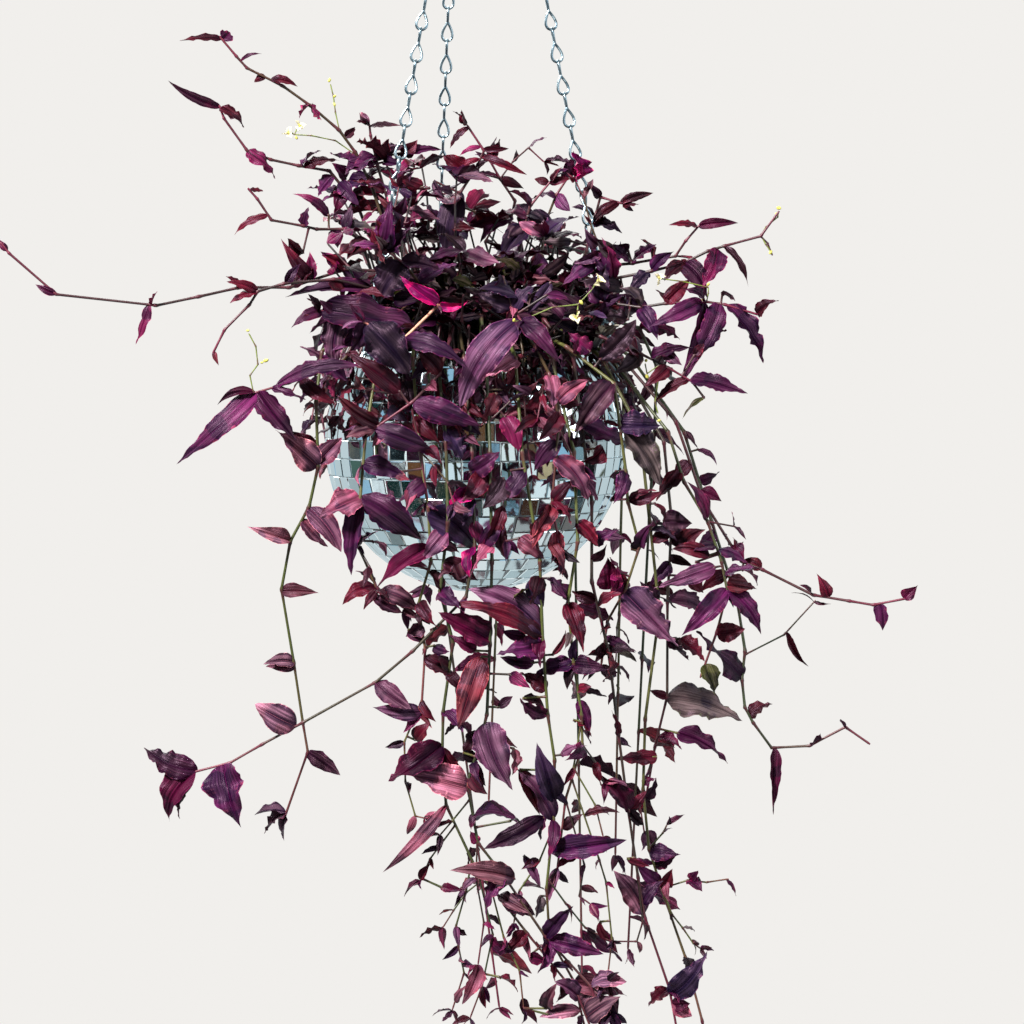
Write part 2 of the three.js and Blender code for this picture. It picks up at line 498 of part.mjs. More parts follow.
let tiles = bowlSolid(ballRadius, tileRows, tileColumns, rimHeight)
  .subtract(bowlSolid(tileInside, wallRows, wallColumns, rimHeight + cutPast));
let shell = bowlSolid(wallOutside, wallRows, wallColumns, rimHeight)
  .subtract(bowlSolid(wallInside, wallRows, wallColumns, rimHeight + cutPast));
for (const { normal } of Object.values(eyes)) {
  const from = normal.clone().multiplyScalar(shankInside - seatGap);
  const to = normal.clone().multiplyScalar(ballRadius + cutPast);
  const hole = pinSolid(from, to, shankRadius + shankClearance, 6);
  tiles = tiles.subtract(hole);
  shell = shell.subtract(hole);
}

// An eye: a wire ring on a shank, with a washer against the tiles.
function eyeSolid({ azimuth, normal, centre }) {
  const ring = solidOf(new THREE.TorusGeometry(eyeRadius, wireRadius, 3, 8)
    .rotateX(Math.PI / 2)
    .rotateZ(radians(azimuth + 90))
    .translate(centre.x, centre.y, centre.z));
  const at = (distance) => normal.clone().multiplyScalar(distance);
  const washerFrom = ballRadius + seatGap;
  const shank = pinSolid(at(shankInside), at(ballRadius + eyeStandoff - eyeRadius), shankRadius, 5);
  const washer = pinSolid(at(washerFrom), at(washerFrom + washerThickness), washerRadius, 6);
  return ring.add(shank).add(washer);
}

// The hanging ring, upright, with the ceiling hook's seat at the top of its inside.
const ringCentre = vector(0, 0, ringHeight);
const hangPoint = ringHeight + ringRadius - ringWire;
const ring = solidOf(new THREE.TorusGeometry(ringRadius, ringWire, 5, 16)
  .rotateX(Math.PI / 2)
  .translate(0, 0, ringHeight));

// One figure-eight link of a single wire: two loops in planes at a right angle, with the wire side by
// side at the waist.
function linkSolid(waist, up, broad, loopLength) {
  const other = up.clone().cross(broad).normalize();
  const at = (x, y, z) => waist.clone()
    .addScaledVector(broad, x).addScaledVector(other, z).addScaledVector(up, y);
  const shoulder = linkOutline.shoulder * loopLength;
  const end = linkOutline.end * linkHalfWidth;
  const waistHalf = linkOutline.waist * wireRadius;
  return loopSolid([
    at(-linkHalfWidth, shoulder, 0), at(-end, loopLength, 0), at(end, loopLength, 0),
    at(linkHalfWidth, shoulder, 0), at(waistHalf, 0, 0),
    at(0, -shoulder, linkHalfWidth), at(0, -loopLength, end), at(0, -loopLength, -end),
    at(0, -shoulder, -linkHalfWidth), at(-waistHalf, 0, 0),
  ], wireRadius, 3);
}

// The chain from an eye to its place on the hanging ring, turning slowly on the way, and the plain rod of
// room that the plant leaves it.
function chainSolid({ azimuth, centre }, spot) {
  const top = ringCentre.clone()
    .add(vector(Math.sin(radians(spot)), 0, -Math.cos(radians(spot))).multiplyScalar(ringRadius));
  const up = top.clone().sub(centre).normalize();
  const bottomWire = centre.clone().addScaledVector(up, eyeRadius - hookClearance);
  const topWire = top.clone().addScaledVector(up, ringClearance);
  const contact = 2 * wireRadius - linkOverlap;
  const reach = topWire.distanceTo(bottomWire) - contact;
  const links = Math.round(reach / linkPitch);
  const pitch = reach / links;
  const loopLength = (pitch + contact) / 2;
  const topAzimuth = Math.abs(azimuth) > 90 ? 180 : 0;
  const chain = Array.from({ length: links }, (_, i) => {
    const waist = bottomWire.clone().addScaledVector(up, loopLength + pitch * i);
    const broad = squareTo(outward(mix(azimuth, topAzimuth, Math.min(1, i / twistLinks))), up);
    return linkSolid(waist, up, broad, loopLength);
  }).reduce((a, b) => a.add(b));
  return { chain, room: pinSolid(centre, top, linkHalfWidth + chainRoom, 6) };
}

const chains = Object.fromEntries(Object.entries(eyes)
  .map(([side, eye]) => [side, chainSolid(eye, ringSpots[side])]));

// The plant.

// A smooth line through points, cut where it is longer than the node spacing.
function centreline(points) {
  const line = [];
  for (let i = 0; i < points.length - 1; i += 1) {
    const [p0, p1, p2, p3] = [Math.max(i - 1, 0), i, i + 1, Math.min(i + 2, points.length - 1)]
      .map((k) => points[k]);
    const cuts = Math.max(1, Math.round(p1.distanceTo(p2) / nodeSpacing));
    const slope = p2.clone().sub(p0);
    const bend = p0.clone().multiplyScalar(2).addScaledVector(p1, -5).addScaledVector(p2, 4).sub(p3);
    const ease = p1.clone().multiplyScalar(3).sub(p0).addScaledVector(p2, -3).add(p3);
    for (let j = 0; j < cuts; j += 1) {
      const t = j / cuts;
      line.push(p1.clone().multiplyScalar(2).addScaledVector(slope, t).addScaledVector(bend, t * t)
        .addScaledVector(ease, t * t * t).multiplyScalar(0.5));
    }
  }
  line.push(points.at(-1).clone());
  return line;
}

// A stem's foot in its hole, and its neck just over the soil.
const footPoints = ([azimuth, radius]) => [
  around(azimuth, radius, soilTop - rootDepth + seatGap),
  around(azimuth, radius, soilTop + collarHeight),
];

// From its hole straight up out of the soil, and for a hanging stem on over the rim and down the ball.
function rootPoints([azimuth, radius], first, index) {
  const start = footPoints([azimuth, radius]);
  if (Math.hypot(first.x, first.y) <= crestRadius || first.z > uprightHeight) return start;
  const crest = Math.max(drawFrom(crestHeights, index), mix(rimHeight, first.z, crestShare));
  start.push(around(azimuth, Math.max(crestRadius, radius + crestOutset), crest));
  if (first.z > overRimFrom) return start;
  const firstAzimuth = THREE.MathUtils.radToDeg(Math.atan2(first.x, -first.y));
  const at = (share, [radius, z]) => around(mix(azimuth, firstAzimuth, share), radius, z);
  start.push(at(azimuthShares.overRim, overRim));
  if (first.z < besideBallFrom) start.push(at(azimuthShares.besideBall, besideBall));
  return start;
}

// The nodes of a hidden stem: up to a crest outside the rim, then hanging with a sideways drift.
function hiddenPath({ root, reach, crest, drop, drift }) {
  const [azimuth, radius] = root;
  const at = (out, z, share) => around(azimuth, out, z)
    .addScaledVector(outward(azimuth + 90), drift * share);
  const edge = crest - hiddenArch.fall;
  const path = [
    ...footPoints(root),
    at(mix(radius, reach, hiddenArch.rise), crest, 0),
    at(mix(radius, reach, hiddenArch.crown), crest - hiddenArch.settle, hiddenDrift.crown),
    at(reach, edge, hiddenDrift.fall),
  ];
  const steps = Math.max(1, Math.round(drop / (2 * nodeSpacing)));
  for (let i = 1; i <= steps; i += 1) {
    const t = i / steps;
    path.push(at(reach * mix(1, hiddenArch.gather, t), edge - drop * t, mix(hiddenDrift.fall, 1, t)));
  }
  return path;
}

// The place on a line nearest to a point, as the front view shows them.
function nearestSeen(line, point) {
  let best = null;
  for (let i = 0; i < line.length - 1; i += 1) {
    const a = line[i];
    const [dx, dz] = [line[i + 1].x - a.x, line[i + 1].z - a.z];
    const along = ((point.x - a.x) * dx + (point.z - a.z) * dz) / (dx * dx + dz * dz || 1);
    const nearest = a.clone().lerp(line[i + 1], THREE.MathUtils.clamp(along, 0, 1));
    const gap = Math.hypot(nearest.x - point.x, nearest.z - point.z);
    if (!best || gap < best.gap) best = { nearest, gap };
  }
  return best;
}

const nearestOf = (lines, point) => lines.map((line) => nearestSeen(line, point))
  .reduce((a, b) => (b.gap < a.gap ? b : a));

// A leaf blade: a broad base, a long point, a fold along the rib and waved edges. The width follows
// t^0.45 (1 - t)^0.9, over that curve's own highest value.
const bladeWidth = (t) => (t ** 0.45 * (1 - t) ** 0.9) / 0.4235;

function stationsOf(length) {
  if (length > largeLeaf) return largeStations;
  return length > smallLeaf ? middleStations : smallStations;
}

function leafSolid({ base, tip, width, face, seed }, spare = 0) {
  const length = tip.distanceTo(base);
  const along = tip.clone().sub(base).normalize();
  const side = face.clone().cross(along).normalize();
  const up = along.clone().cross(side).normalize();
  const stations = stationsOf(length);
  const turn = draw(seed + 3) < 0.5 ? 1 : -1;
  const points = [
    base.clone().addScaledVector(along, -leafSink),
    tip.clone().addScaledVector(along, spare),
  ];
  stations.forEach((t, i) => {
    const rib = base.clone().addScaledVector(along, t * length)
      .addScaledVector(up, leafArch * length * 4 * t * (1 - t));
    const half = (width / 2) * bladeWidth(t) + spare;
    const beat = (i % 2 ? -1 : 1) * turn;
    const thick = (leafThickness / 2) * (t > thinFrom ? tipThinning : 1) + spare;
    points.push(
      rib.clone().addScaledVector(side, half * (1 + leafRipple * beat))
        .addScaledVector(up, leafFold * half + leafWave * width * beat),
      rib.clone().addScaledVector(side, -half * (1 - leafRipple * beat))
        .addScaledVector(up, leafFold * half - leafWave * width * beat),
      rib.clone().addScaledVector(up, thick),
      rib.clone().addScaledVector(up, -thick),
    );
  });
  const [left, right, top, under] = [0, 1, 2, 3].map((k) => (i) => 2 + 4 * i + k);
  const end = stations.length - 1;
  const upper = [[0, top(0), left(0)], [0, right(0), top(0)], [top(end), 1, left(end)],
    [right(end), 1, top(end)]];
  for (let i = 0; i < end; i += 1) {
    const j = i + 1;
    upper.push([top(i), top(j), left(j)], [top(i), left(j), left(i)]);
    upper.push([right(i), right(j), top(j)], [right(i), top(j), top(i)]);
  }
  const tops = new Map(stations.map((_, i) => [top(i), under(i)]));
  const below = (k) => tops.get(k) ?? k;
  const lower = upper.map(([a, b, c]) => [below(a), below(c), below(b)]);
  return solidOf(geometryOf(points, [...upper, ...lower].flat()));
}

// The stalk of a leaf that stands off its stem, run a little way into the blade.
const stalkSolid = ({ stalk, base, tip }) => rodSolid(
  [stalk, base, base.clone().lerp(tip, stalkInBlade)], [twigRadius, twigRadius, twigRadius], stemSides);

// The leaf's own sizes, rolls and swings, tried in turn until it is clear of everything else.
const leafTries = (leaf) => leafScales.flatMap((scale) => leafRolls.flatMap((roll) =>
  leafTurns.map((turn) => {
    const tip = leaf.base.clone().addScaledVector(leaf.tip.clone().sub(leaf.base), scale)
      .addScaledVector(leaf.face, turn);
    const along = tip.clone().sub(leaf.base).normalize();
    return { ...leaf, tip, width: leaf.width * scale, face: leaf.face.clone().applyAxisAngle(along, roll) };
  })));

// Which way a leaf's upper side looks: out from the pot and up, and in the front view to the front.
function faceOf(base, tip, shown) {
  const { out, front, up } = shown ? leafFacing.shown : leafFacing.hidden;
  const face = vector(base.x, base.y, 0).setLength(out).add(vector(0, -front, up));
  return squareTo(face, tip.clone().sub(base).normalize());
}

// A leaf by rule at a bare node: to the left and right in turn, out and down along the stem.
function ruleLeaf(line, i, length, seed) {
  const base = line[i].clone();
  const heading = line[Math.min(i + 1, line.length - 1)].clone().sub(line[i - 1]).normalize();
  const out = vector(base.x, base.y, 0).normalize();
  const beside = heading.clone().cross(out).normalize().multiplyScalar(i % 2 ? 1 : -1);
  const direction = beside.multiplyScalar(drawFrom(ruleRanges.beside, seed))
    .addScaledVector(heading, drawFrom(ruleRanges.ahead, seed + 1))
    .addScaledVector(out, drawFrom(ruleRanges.out, seed + 2))
    .add(vector(0, 0, drawFrom(ruleRanges.up, seed + 3))).normalize();
  const size = length * drawFrom(ruleRanges.size, seed + 4);
  const tip = base.clone().addScaledVector(direction, size);
  const width = size * drawFrom(ruleRanges.width, seed + 5);
  return { base, tip, width, face: faceOf(base, tip, false), seed };
}

// A leaf that the front view shows, on the stem or twig that passes nearest to its base.
function shownLeaf([baseX, baseY, tipX, tipY, width], lines, firstDepth, seed) {
  const depth = nearestOf(lines, seen(baseX, baseY, firstDepth)).nearest.y;
  const wanted = seen(baseX, baseY, depth);
  const { nearest, gap } = nearestOf(lines, wanted);
  const stalk = gap > stalkFrom ? nearest : null;
  const base = stalk ? wanted : nearest;
  const tip = seen(tipX, tipY, depth + drawFrom(tipDepths, seed));
  const scale = ((1 + depth / eyeDistance) / pixelsPerMm) * shownWidthGain;
  return { base, tip, width: width * scale, face: faceOf(base, tip, true), seed, stalk };
}

// A twig from its place on the stem, at that place's depth.
function twigLine(nodes, line, firstDepth) {
  const depth = nearestSeen(line, seen(...nodes[0], firstDepth)).nearest.y;
  const [foot, ...rest] = nodes.map(([across, down]) => seen(across, down, depth));
  return [nearestSeen(line, foot).nearest, ...rest];
}

// A stem's plan: its line, its twigs and its leaves, before anything is tried for room.
function planStem(stem, index) {
  const shown = Boolean(stem.path);
  const path = shown ? stem.path.map((node) => seen(...node)) : hiddenPath(stem);
  const line = centreline(shown ? [...rootPoints(stem.root, path[0], index), ...path] : path);
  const twigs = (stem.twigs ?? []).map((nodes) => twigLine(nodes, line, path.at(-1).y));
  const lines = [line.slice(2), ...twigs];
  const leaves = (stem.leaves ?? []).map((leaf, k) =>
    shownLeaf(leaf, lines, path[0].y, index * stemSeed + k * leafSeed));
  const fill = stem.fill ?? (shown ? 0 : hiddenFill);
  for (let i = shown ? 3 : 2; i < line.length; i += 1) {
    const seed = index * stemSeed + ruleSeed + i * nodeSeed;
    const bare = leaves.every((leaf) => leaf.base.distanceTo(line[i]) > leafSpacing);
    const length = shown ? ruleLengths.shown : ruleLengths.hidden;
    if (bare && draw(seed + 6) < fill) leaves.push(ruleLeaf(line, i, length, seed));
  }
  for (const each of [line, ...twigs]) {
    const [before, end] = each.slice(-2);
    end.addScaledVector(end.clone().sub(before).normalize(), tipReach);
  }
  const kept = leaves.filter(({ base, tip }) => tip.distanceTo(base) > smallestLeaf);
  return { name: stem.name, line, twigs, leaves: kept };
}

function stemSolid(line, spare = 0) {
  const radii = line.map((_, i) => mix(stemRadius, stemTipRadius, i / (line.length - 1)) + spare);
  return rodSolid(line, radii, stemSides);
}

// What is already in its place, and what of another owner's a solid would run into.
const placed = [];
const place = (owner, solid) => placed.push({ owner, solid, box: solid.boundingBox() });
const boxesMeet = (a, b) => [0, 1, 2].every((k) => a.min[k] <= b.max[k] && b.min[k] <= a.max[k]);
const blockedBy = (owner, solid) => {
  const box = solid.boundingBox();
  return placed.find((other) => other.owner !== owner && boxesMeet(box, other.box)
    && solid.intersect(other.solid).volume() > 1e-6);
};

place("pot", bowlSolid(ballRadius, tileRows, tileColumns, soilTop));
place("pot", tiles);
place("pot", shell);
for (const [side, { room }] of Object.entries(chains)) {
  place(side, room);
  place(side, eyeSolid(eyes[side]));
}

// A solid is fused to its stem.
function grow(plan, solid) {
  plan.solid = plan.solid.add(solid);
  place(plan.name, solid);
}

const plans = [...shownStems, ...hiddenStems].map(planStem);
for (const plan of plans) {
  const crossed = blockedBy(plan.name, stemSolid(plan.line.slice(1), stemClearance));
  if (crossed) throw new Error(`${plan.name} runs into ${crossed.owner}`);
  plan.solid = stemSolid(plan.line);
  place(plan.name, stemSolid(plan.line.slice(1)));
  for (const points of plan.twigs) {
    grow(plan, rodSolid(points, points.map(() => twigRadius), stemSides));
  }
}

// The leaves grow in, the broadest first, each on its first try that is clear of every other stem.
const byWidth = plans.flatMap((plan) => plan.leaves.map((leaf) => ({ plan, leaf })))
  .sort((a, b) => b.leaf.width - a.leaf.width);
for (const { plan, leaf } of byWidth) {
  const clear = (solid) => !blockedBy(plan.name, solid);
  const grown = leafTries(leaf).find((attempt) => clear(leafSolid(attempt, leafClearance))
    && (!attempt.stalk || clear(stalkSolid(attempt))));
  if (!grown) continue;
  grow(plan, leafSolid(grown));
  if (grown.stalk) grow(plan, stalkSolid(grown));
}

// The outer body of a fused solid, so that a hollow sealed between crossing leaves is filled.
const outerBody = (solid) => solid.decompose().reduce((a, b) => (b.volume() > a.volume() ? b : a));

// Soil: a plug in the bowl with a plain hole for each stem.
let soil = bowlSolid(wallInside - seatGap, wallRows, wallColumns, soilTop);
for (const { line } of plans) {
  const foot = line[0].clone().setZ(soilTop - rootDepth);
  const mouth = foot.clone().setZ(soilTop + cutPast);
  soil = soil.subtract(pinSolid(foot, mouth, stemRadius + rootClearance, stemSides));
}

const finishes = {
  shell: { colour: 0x3c3f42, roughness: 0.6 },
  tiles: { colour: 0xc9d6dc, roughness: 0.05, metalness: 1 },
  soil: { colour: 0x241a14, roughness: 0.95 },
  steel: { colour: 0x8fa3ad, roughness: 0.3, metalness: 1 },
  plant: { colour: 0x5a2150, roughness: 0.45 },
};

// The plant's purple, a little redder or bluer and lighter or darker on each stem.
function plantFinish(index) {
  const hueShift = 0.03 * (draw(index) - 0.5);
  const lightShift = 0.08 * (draw(index + 40) - 0.5);
  const colour = new THREE.Color(finishes.plant.colour).offsetHSL(hueShift, 0, lightShift);
  return { ...finishes.plant, colour };
}

const hanging = new THREE.Group();
hanging.add(
  piece("pot_shell", shell, finishes.shell),
  piece("mirror_tiles", tiles, finishes.tiles),
  piece("soil", soil, finishes.soil),
  piece("hanging_ring", ring, finishes.steel),
);
for (const side of Object.keys(eyes)) {
  hanging.add(piece(`eye_${side}`, eyeSolid(eyes[side]), finishes.steel));
  hanging.add(piece(`chain_${side}`, chains[side].chain, finishes.steel));
}
plans.forEach(({ name, solid }, index) => {
  hanging.add(piece(name, outerBody(solid), plantFinish(index)));
});
hanging.position.z = -hangPoint;

const part = new THREE.Group();
part.add(hanging);
export default part;
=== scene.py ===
import bpy
import numpy as np
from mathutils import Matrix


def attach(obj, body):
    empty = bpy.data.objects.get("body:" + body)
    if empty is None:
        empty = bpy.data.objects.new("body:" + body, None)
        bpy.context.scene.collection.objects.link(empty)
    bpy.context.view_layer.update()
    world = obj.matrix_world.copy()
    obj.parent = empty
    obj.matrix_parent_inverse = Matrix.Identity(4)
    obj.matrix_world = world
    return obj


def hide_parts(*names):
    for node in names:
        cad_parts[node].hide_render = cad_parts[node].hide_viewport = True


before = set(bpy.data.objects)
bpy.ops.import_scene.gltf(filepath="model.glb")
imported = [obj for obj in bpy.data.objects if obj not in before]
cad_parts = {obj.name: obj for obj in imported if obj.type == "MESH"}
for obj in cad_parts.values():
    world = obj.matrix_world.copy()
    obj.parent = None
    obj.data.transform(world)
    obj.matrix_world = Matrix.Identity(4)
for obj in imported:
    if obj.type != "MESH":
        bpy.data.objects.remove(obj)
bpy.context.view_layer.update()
print("frame loaded:", len(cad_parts), "nodes")

ballHeight = -509.5  # the ball's centre in the part's frame
metre = 0.001


def unit(vectors):
    # Each vector over its own length.
    return vectors / np.maximum(np.linalg.norm(vectors, axis=-1, keepdims=True), 1e-12)


def mix(a, b, share):
    # A value the share of the way from a to b.
    return a + (b - a) * share


def draw(seed):
    # A repeatable number from 0 to 1: the fraction of 43758.5453 sin(12.9898 seed + 78.233).
    value = np.sin(seed * 12.9898 + 78.233) * 43758.5453
    return value - np.floor(value)


def drawFrom(limits, seed):
    # A repeatable number between two limits.
    return mix(limits[0], limits[1], draw(seed))


def smooth(low, high, value):
    # 0 below low, 1 above high, and 3t^2 - 2t^3 between.
    t = np.clip((value - low) / (high - low), 0, 1)
    return t * t * (3 - 2 * t)


def outward(azimuth):
    # The level direction at an azimuth in degrees, measured from the front towards +x.
    turn = np.radians(azimuth)
    return np.stack([np.sin(turn), -np.cos(turn), 0 * turn], -1)


def around(azimuth, radius, height):
    # The point at an azimuth, a distance from the pot's axis and a height.
    return outward(azimuth) * radius + np.array([0, 0, 1]) * height


def circle(sides):
    # Points evenly round a circle of radius 1: (cos a, sin a, 0) at a = 2 pi k / sides.
    turn = 2 * np.pi * np.arange(sides) / sides
    return np.stack([np.cos(turn), np.sin(turn), 0 * turn], -1)


def rise(height):
    # A vector straight up.
    return np.array([0, 0, height], float)


def linear(colour):
    # An sRGB colour as Blender's linear light: v / 12.92 near black, else ((v + 0.055) / 1.055)^2.4.
    value = np.asarray(colour, float)
    return np.where(value < 0.04045, value / 12.92, ((value + 0.055) / 1.055) ** 2.4)


def hexColour(text):
    # Six hex digits as linear red, green and blue.
    return linear([int(text[k:k + 2], 16) / 255 for k in (0, 2, 4)])


def rowsOf(text):
    # The numbers of a table: a comma ends each row, and spaces part its numbers.
    return [[float(value) for value in row.split()] for row in text.split(",") if row]


def toFrame(points):
    # Millimetres from the ball's centre to metres in the part's frame.
    return (points + rise(ballHeight)) * metre


def addObject(name, data):
    # A new object in the scene.
    made = bpy.data.objects.new(name, data)
    bpy.context.scene.collection.objects.link(made)
    return made


class Growth:
    # Gathers sleeves, which are rings joined along a path and closed at a point at each end, into one
    # mesh with two UV maps, a tone for every face and a place in the list of materials.
    def __init__(self):
        self.lists = {key: [] for key in ("points", "quads", "quadTones", "quadPlaces", "blade", "grain",
                                          "triangles", "triangleTones", "trianglePlaces")}
        self.count = 0

    def sleeves(self, rings, start, end, blade=None, grain=None, tones=(1, 1, 1, 0), place=0):
        # rings is sleeves x rings x points x 3. Face (i, j) joins points j and j + 1 of rings i and i + 1,
        # and a pole at each end closes the sleeve with triangles.
        copies, count, sides = rings.shape[:3]
        points = np.concatenate([rings.reshape(copies, -1, 3), start[:, None], end[:, None]], 1)
        size = count * sides + 2
        ring, side = np.meshgrid(np.arange(count - 1), np.arange(sides), indexing="ij")
        beside = (side + 1) % sides
        quads = np.stack([ring * sides + side, ring * sides + beside, (ring + 1) * sides + beside,
                          (ring + 1) * sides + side], -1).reshape(-1, 4)
        j = np.arange(sides)
        k = (j + 1) % sides
        last = (count - 1) * sides
        triangles = np.concatenate([
            np.stack([np.full(sides, size - 2), k, j], -1),
            np.stack([np.full(sides, size - 1), last + j, last + k], -1)])
        offset = self.count + np.arange(copies)[:, None, None] * size
        tone = np.broadcast_to(np.asarray(tones, float), (copies, count + 1, sides, 4))

        def flat(values):
            # Ring values with the poles' own after them: half way across, at the path's ends.
            whole = np.broadcast_to(values, (copies, count, sides, 2)).reshape(copies, -1, 2)
            poles = np.stack([whole[:, :sides].mean(1), whole[:, -sides:].mean(1)], 1)
            return np.concatenate([whole, poles], 1).reshape(-1, 2)

        zero = np.zeros((1, 1, 1, 2))
        made = {
            "points": points.reshape(-1, 3),
            "quads": (quads + offset).reshape(-1, 4),
            "triangles": (triangles + offset).reshape(-1, 3),
            "quadTones": tone[:, 1:-1].reshape(-1, 4),
            "triangleTones": tone[:, [0, -1]].reshape(-1, 4),
            "blade": flat(zero if blade is None else blade),
            "grain": flat(zero if grain is None else grain),
        }
        made["quadPlaces"] = np.full(len(made["quads"]), place)
        made["trianglePlaces"] = np.full(len(made["triangles"]), place)
        for key, values in made.items():
            self.lists[key].append(values)
        self.count += copies * size

    def piece(self, name, materials, slot, replaces=(), sharpFrom=50):
        # Puts the gathered arrays into a mesh, marks its sharp edges by angle and rides it on the pot.
        arrays = {key: np.concatenate(values) for key, values in self.lists.items()}
        quads, triangles = arrays["quads"], arrays["triangles"]
        corners = np.concatenate([quads.ravel(), triangles.ravel()])
        starts = np.concatenate([np.arange(len(quads)) * 4, len(quads) * 4 + np.arange(len(triangles)) * 3])
        mesh = bpy.data.meshes.new(name)
        mesh.vertices.add(len(arrays["points"]))
        mesh.vertices.foreach_set("co", toFrame(arrays["points"]).ravel())
        mesh.loops.add(len(corners))
        mesh.loops.foreach_set("vertex_index", corners)
        mesh.polygons.add(len(starts))
        mesh.polygons.foreach_set("loop_start", starts)
        mesh.polygons.foreach_set("use_smooth", np.ones(len(starts), bool))
        mesh.polygons.foreach_set("material_index",
                                  np.concatenate([arrays["quadPlaces"], arrays["trianglePlaces"]]))
        mesh.update(calc_edges=True)
        for key in ("blade", "grain"):
            mesh.uv_layers.new(name=key).uv.foreach_set("vector", arrays[key][corners].ravel())
        tones = np.concatenate([np.repeat(arrays["quadTones"], 4, 0),
                                np.repeat(arrays["triangleTones"], 3, 0)])
        colours = mesh.color_attributes.new(name="tone", type="FLOAT_COLOR", domain="CORNER")
        colours.data.foreach_set("color", tones.ravel())
        mesh.set_sharp_from_angle(angle=np.radians(sharpFrom))
        for material in materials:
            mesh.materials.append(material)
        made = addObject(name, mesh)
        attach(made, "root")
        if replaces:
            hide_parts(*replaces)
        return made


def acrossOf(ahead):
    # One sideways direction for a whole path: of a few directions, the one that no heading comes near.
    tries = unit(np.array([[1, 0, 0], [0, 1, 0], [0, 0, 1], [1, 1, 0], [1, -1, 0], [1, 0, 1], [1, 0, -1],
                           [0, 1, 1], [0, 1, -1]], float))
    clearance = np.linalg.norm(np.cross(ahead[:, None], tries[None]), axis=-1).min(0)
    return tries[clearance.argmax()]


def tubeRings(line, radii, sides):
    # Ring point k of line point i: line + radius (cos a across + sin a beside), a = 2 pi k / sides, square
    # to the heading there.
    ahead = unit(np.gradient(line, axis=0))
    across = unit(np.cross(ahead, acrossOf(ahead)))
    beside = np.cross(ahead, across)
    spokes = circle(sides)[None, :, :1] * across[:, None] + circle(sides)[None, :, 1:2] * beside[:, None]
    return (line[:, None] + np.asarray(radii)[:, None, None] * spokes)[None]


def revolved(profile, sides):
    # A profile of distances from the axis and heights, turned about the axis, with its ends as poles.
    profile = np.asarray(profile, float)
    rings = profile[1:-1, None, 0:1] * circle(sides)[None] + profile[1:-1, None, 1:2] * rise(1)
    poles = profile[[0, -1], 1][:, None] * rise(1)
    return rings[None], poles[:1], poles[1:]


def lumpRings(centres, radii, seeds, rings=3, sides=6):
    # Ellipsoids at a place, each with three radii along its own turned axes: z = c cos p, the ring at
    # angle p being sin p wide, for p evenly between the poles.
    centres, radii = np.asarray(centres, float), np.asarray(radii, float)
    ahead = unit(np.stack([drawFrom((-1, 1), seeds + k * 0.37) for k in range(3)], -1))
    slant = np.stack([draw(seeds + 5.1), draw(seeds + 6.3), 0.2 + 0 * seeds], -1)
    across = unit(np.cross(ahead, unit(slant)))
    polar = (np.pi * (1 - np.arange(1, rings + 1) / (rings + 1)))[None, :, None, None]
    tip = ahead * radii[:, 2:3]
    wide, deep = across * radii[:, :1], np.cross(ahead, across) * radii[:, 1:2]
    spokes = (circle(sides)[None, None, :, :1] * wide[:, None, None]
              + circle(sides)[None, None, :, 1:2] * deep[:, None, None])
    place = np.cos(polar) * tip[:, None, None] + np.sin(polar) * spokes
    return centres[:, None, None] + place, centres - tip, centres + tip


class Wire:
    # A node's output socket, on which arithmetic adds nodes.
    def __init__(self, tree, socket):
        self.tree, self.socket = tree, socket

    def add(self, kind, inputs=None, output=0, stops=None, **settings):
        # Adds a node of a kind: its settings first, then the values or links of its sockets.
        node = self.tree.nodes.new(kind)
        for key, value in settings.items():
            setattr(node, key, value)
        if stops:
            while len(node.color_ramp.elements) < len(stops):
                node.color_ramp.elements.new(1)
            for element, (position, colour) in zip(node.color_ramp.elements, stops):
                element.position, element.color = position, (*colour, 1)
        for key, value in (inputs or {}).items():
            if isinstance(value, Wire):
                self.tree.links.new(value.socket, node.inputs[key])
            else:
                node.inputs[key].default_value = value
        return Wire(self.tree, node.outputs[output] if len(node.outputs) else None)

    def sibling(self, output):
        # Another output of the same node.
        return Wire(self.tree, self.socket.node.outputs[output])

    def combine(self, operation, first, second):
        # A Vector Math node where a side is a vector or a colour, and a Math node where none is.
        sides = {0: first, 1: second}
        kinds = {each.socket.type for each in sides.values() if isinstance(each, Wire)}
        if kinds & {"VECTOR", "RGBA"}:
            wide = {place: each if isinstance(each, Wire) else tuple(np.broadcast_to(each, 3))
                    for place, each in sides.items()}
            return self.add("ShaderNodeVectorMath", wide, operation=operation)
        return self.add("ShaderNodeMath", sides, operation=operation)

    def __add__(self, other):
        return self.combine("ADD", self, other)

    __radd__ = __add__

    def __mul__(self, other):
        return self.combine("MULTIPLY", self, other)

    __rmul__ = __mul__

    def __sub__(self, other):
        return self.combine("SUBTRACT", self, other)

    def __rsub__(self, other):
        return self.combine("SUBTRACT", other, self)

    def __truediv__(self, other):
        return self.combine("DIVIDE", self, other)

    def __abs__(self):
        return self.add("ShaderNodeMath", {0: self}, operation="ABSOLUTE")

    def between(self, low, high):
        # 0 at low, 1 at high, eased between them.
        return self.add("ShaderNodeMapRange", {"Value": self, "From Min": low, "From Max": high},
                        interpolation_type="SMOOTHSTEP")

    def choose(self, first, second):
        # A colour this share of the way from the first to the second.
        return self.add("ShaderNodeMix", {"Factor": self, 6: first, 7: second}, output=2, data_type="RGBA")

    def blend(self, share, other):
        # This colour mixed towards another one by a share.
        return share.choose(self, other)


def noise(place, scale, detail=2.0, roughness=0.5):
    # Cloudy grain from 0 to 1, with a scale in cycles for each unit of the place.
    return place.add("ShaderNodeTexNoise", {"Vector": place, "Scale": scale, "Detail": detail,
                                            "Roughness": roughness})


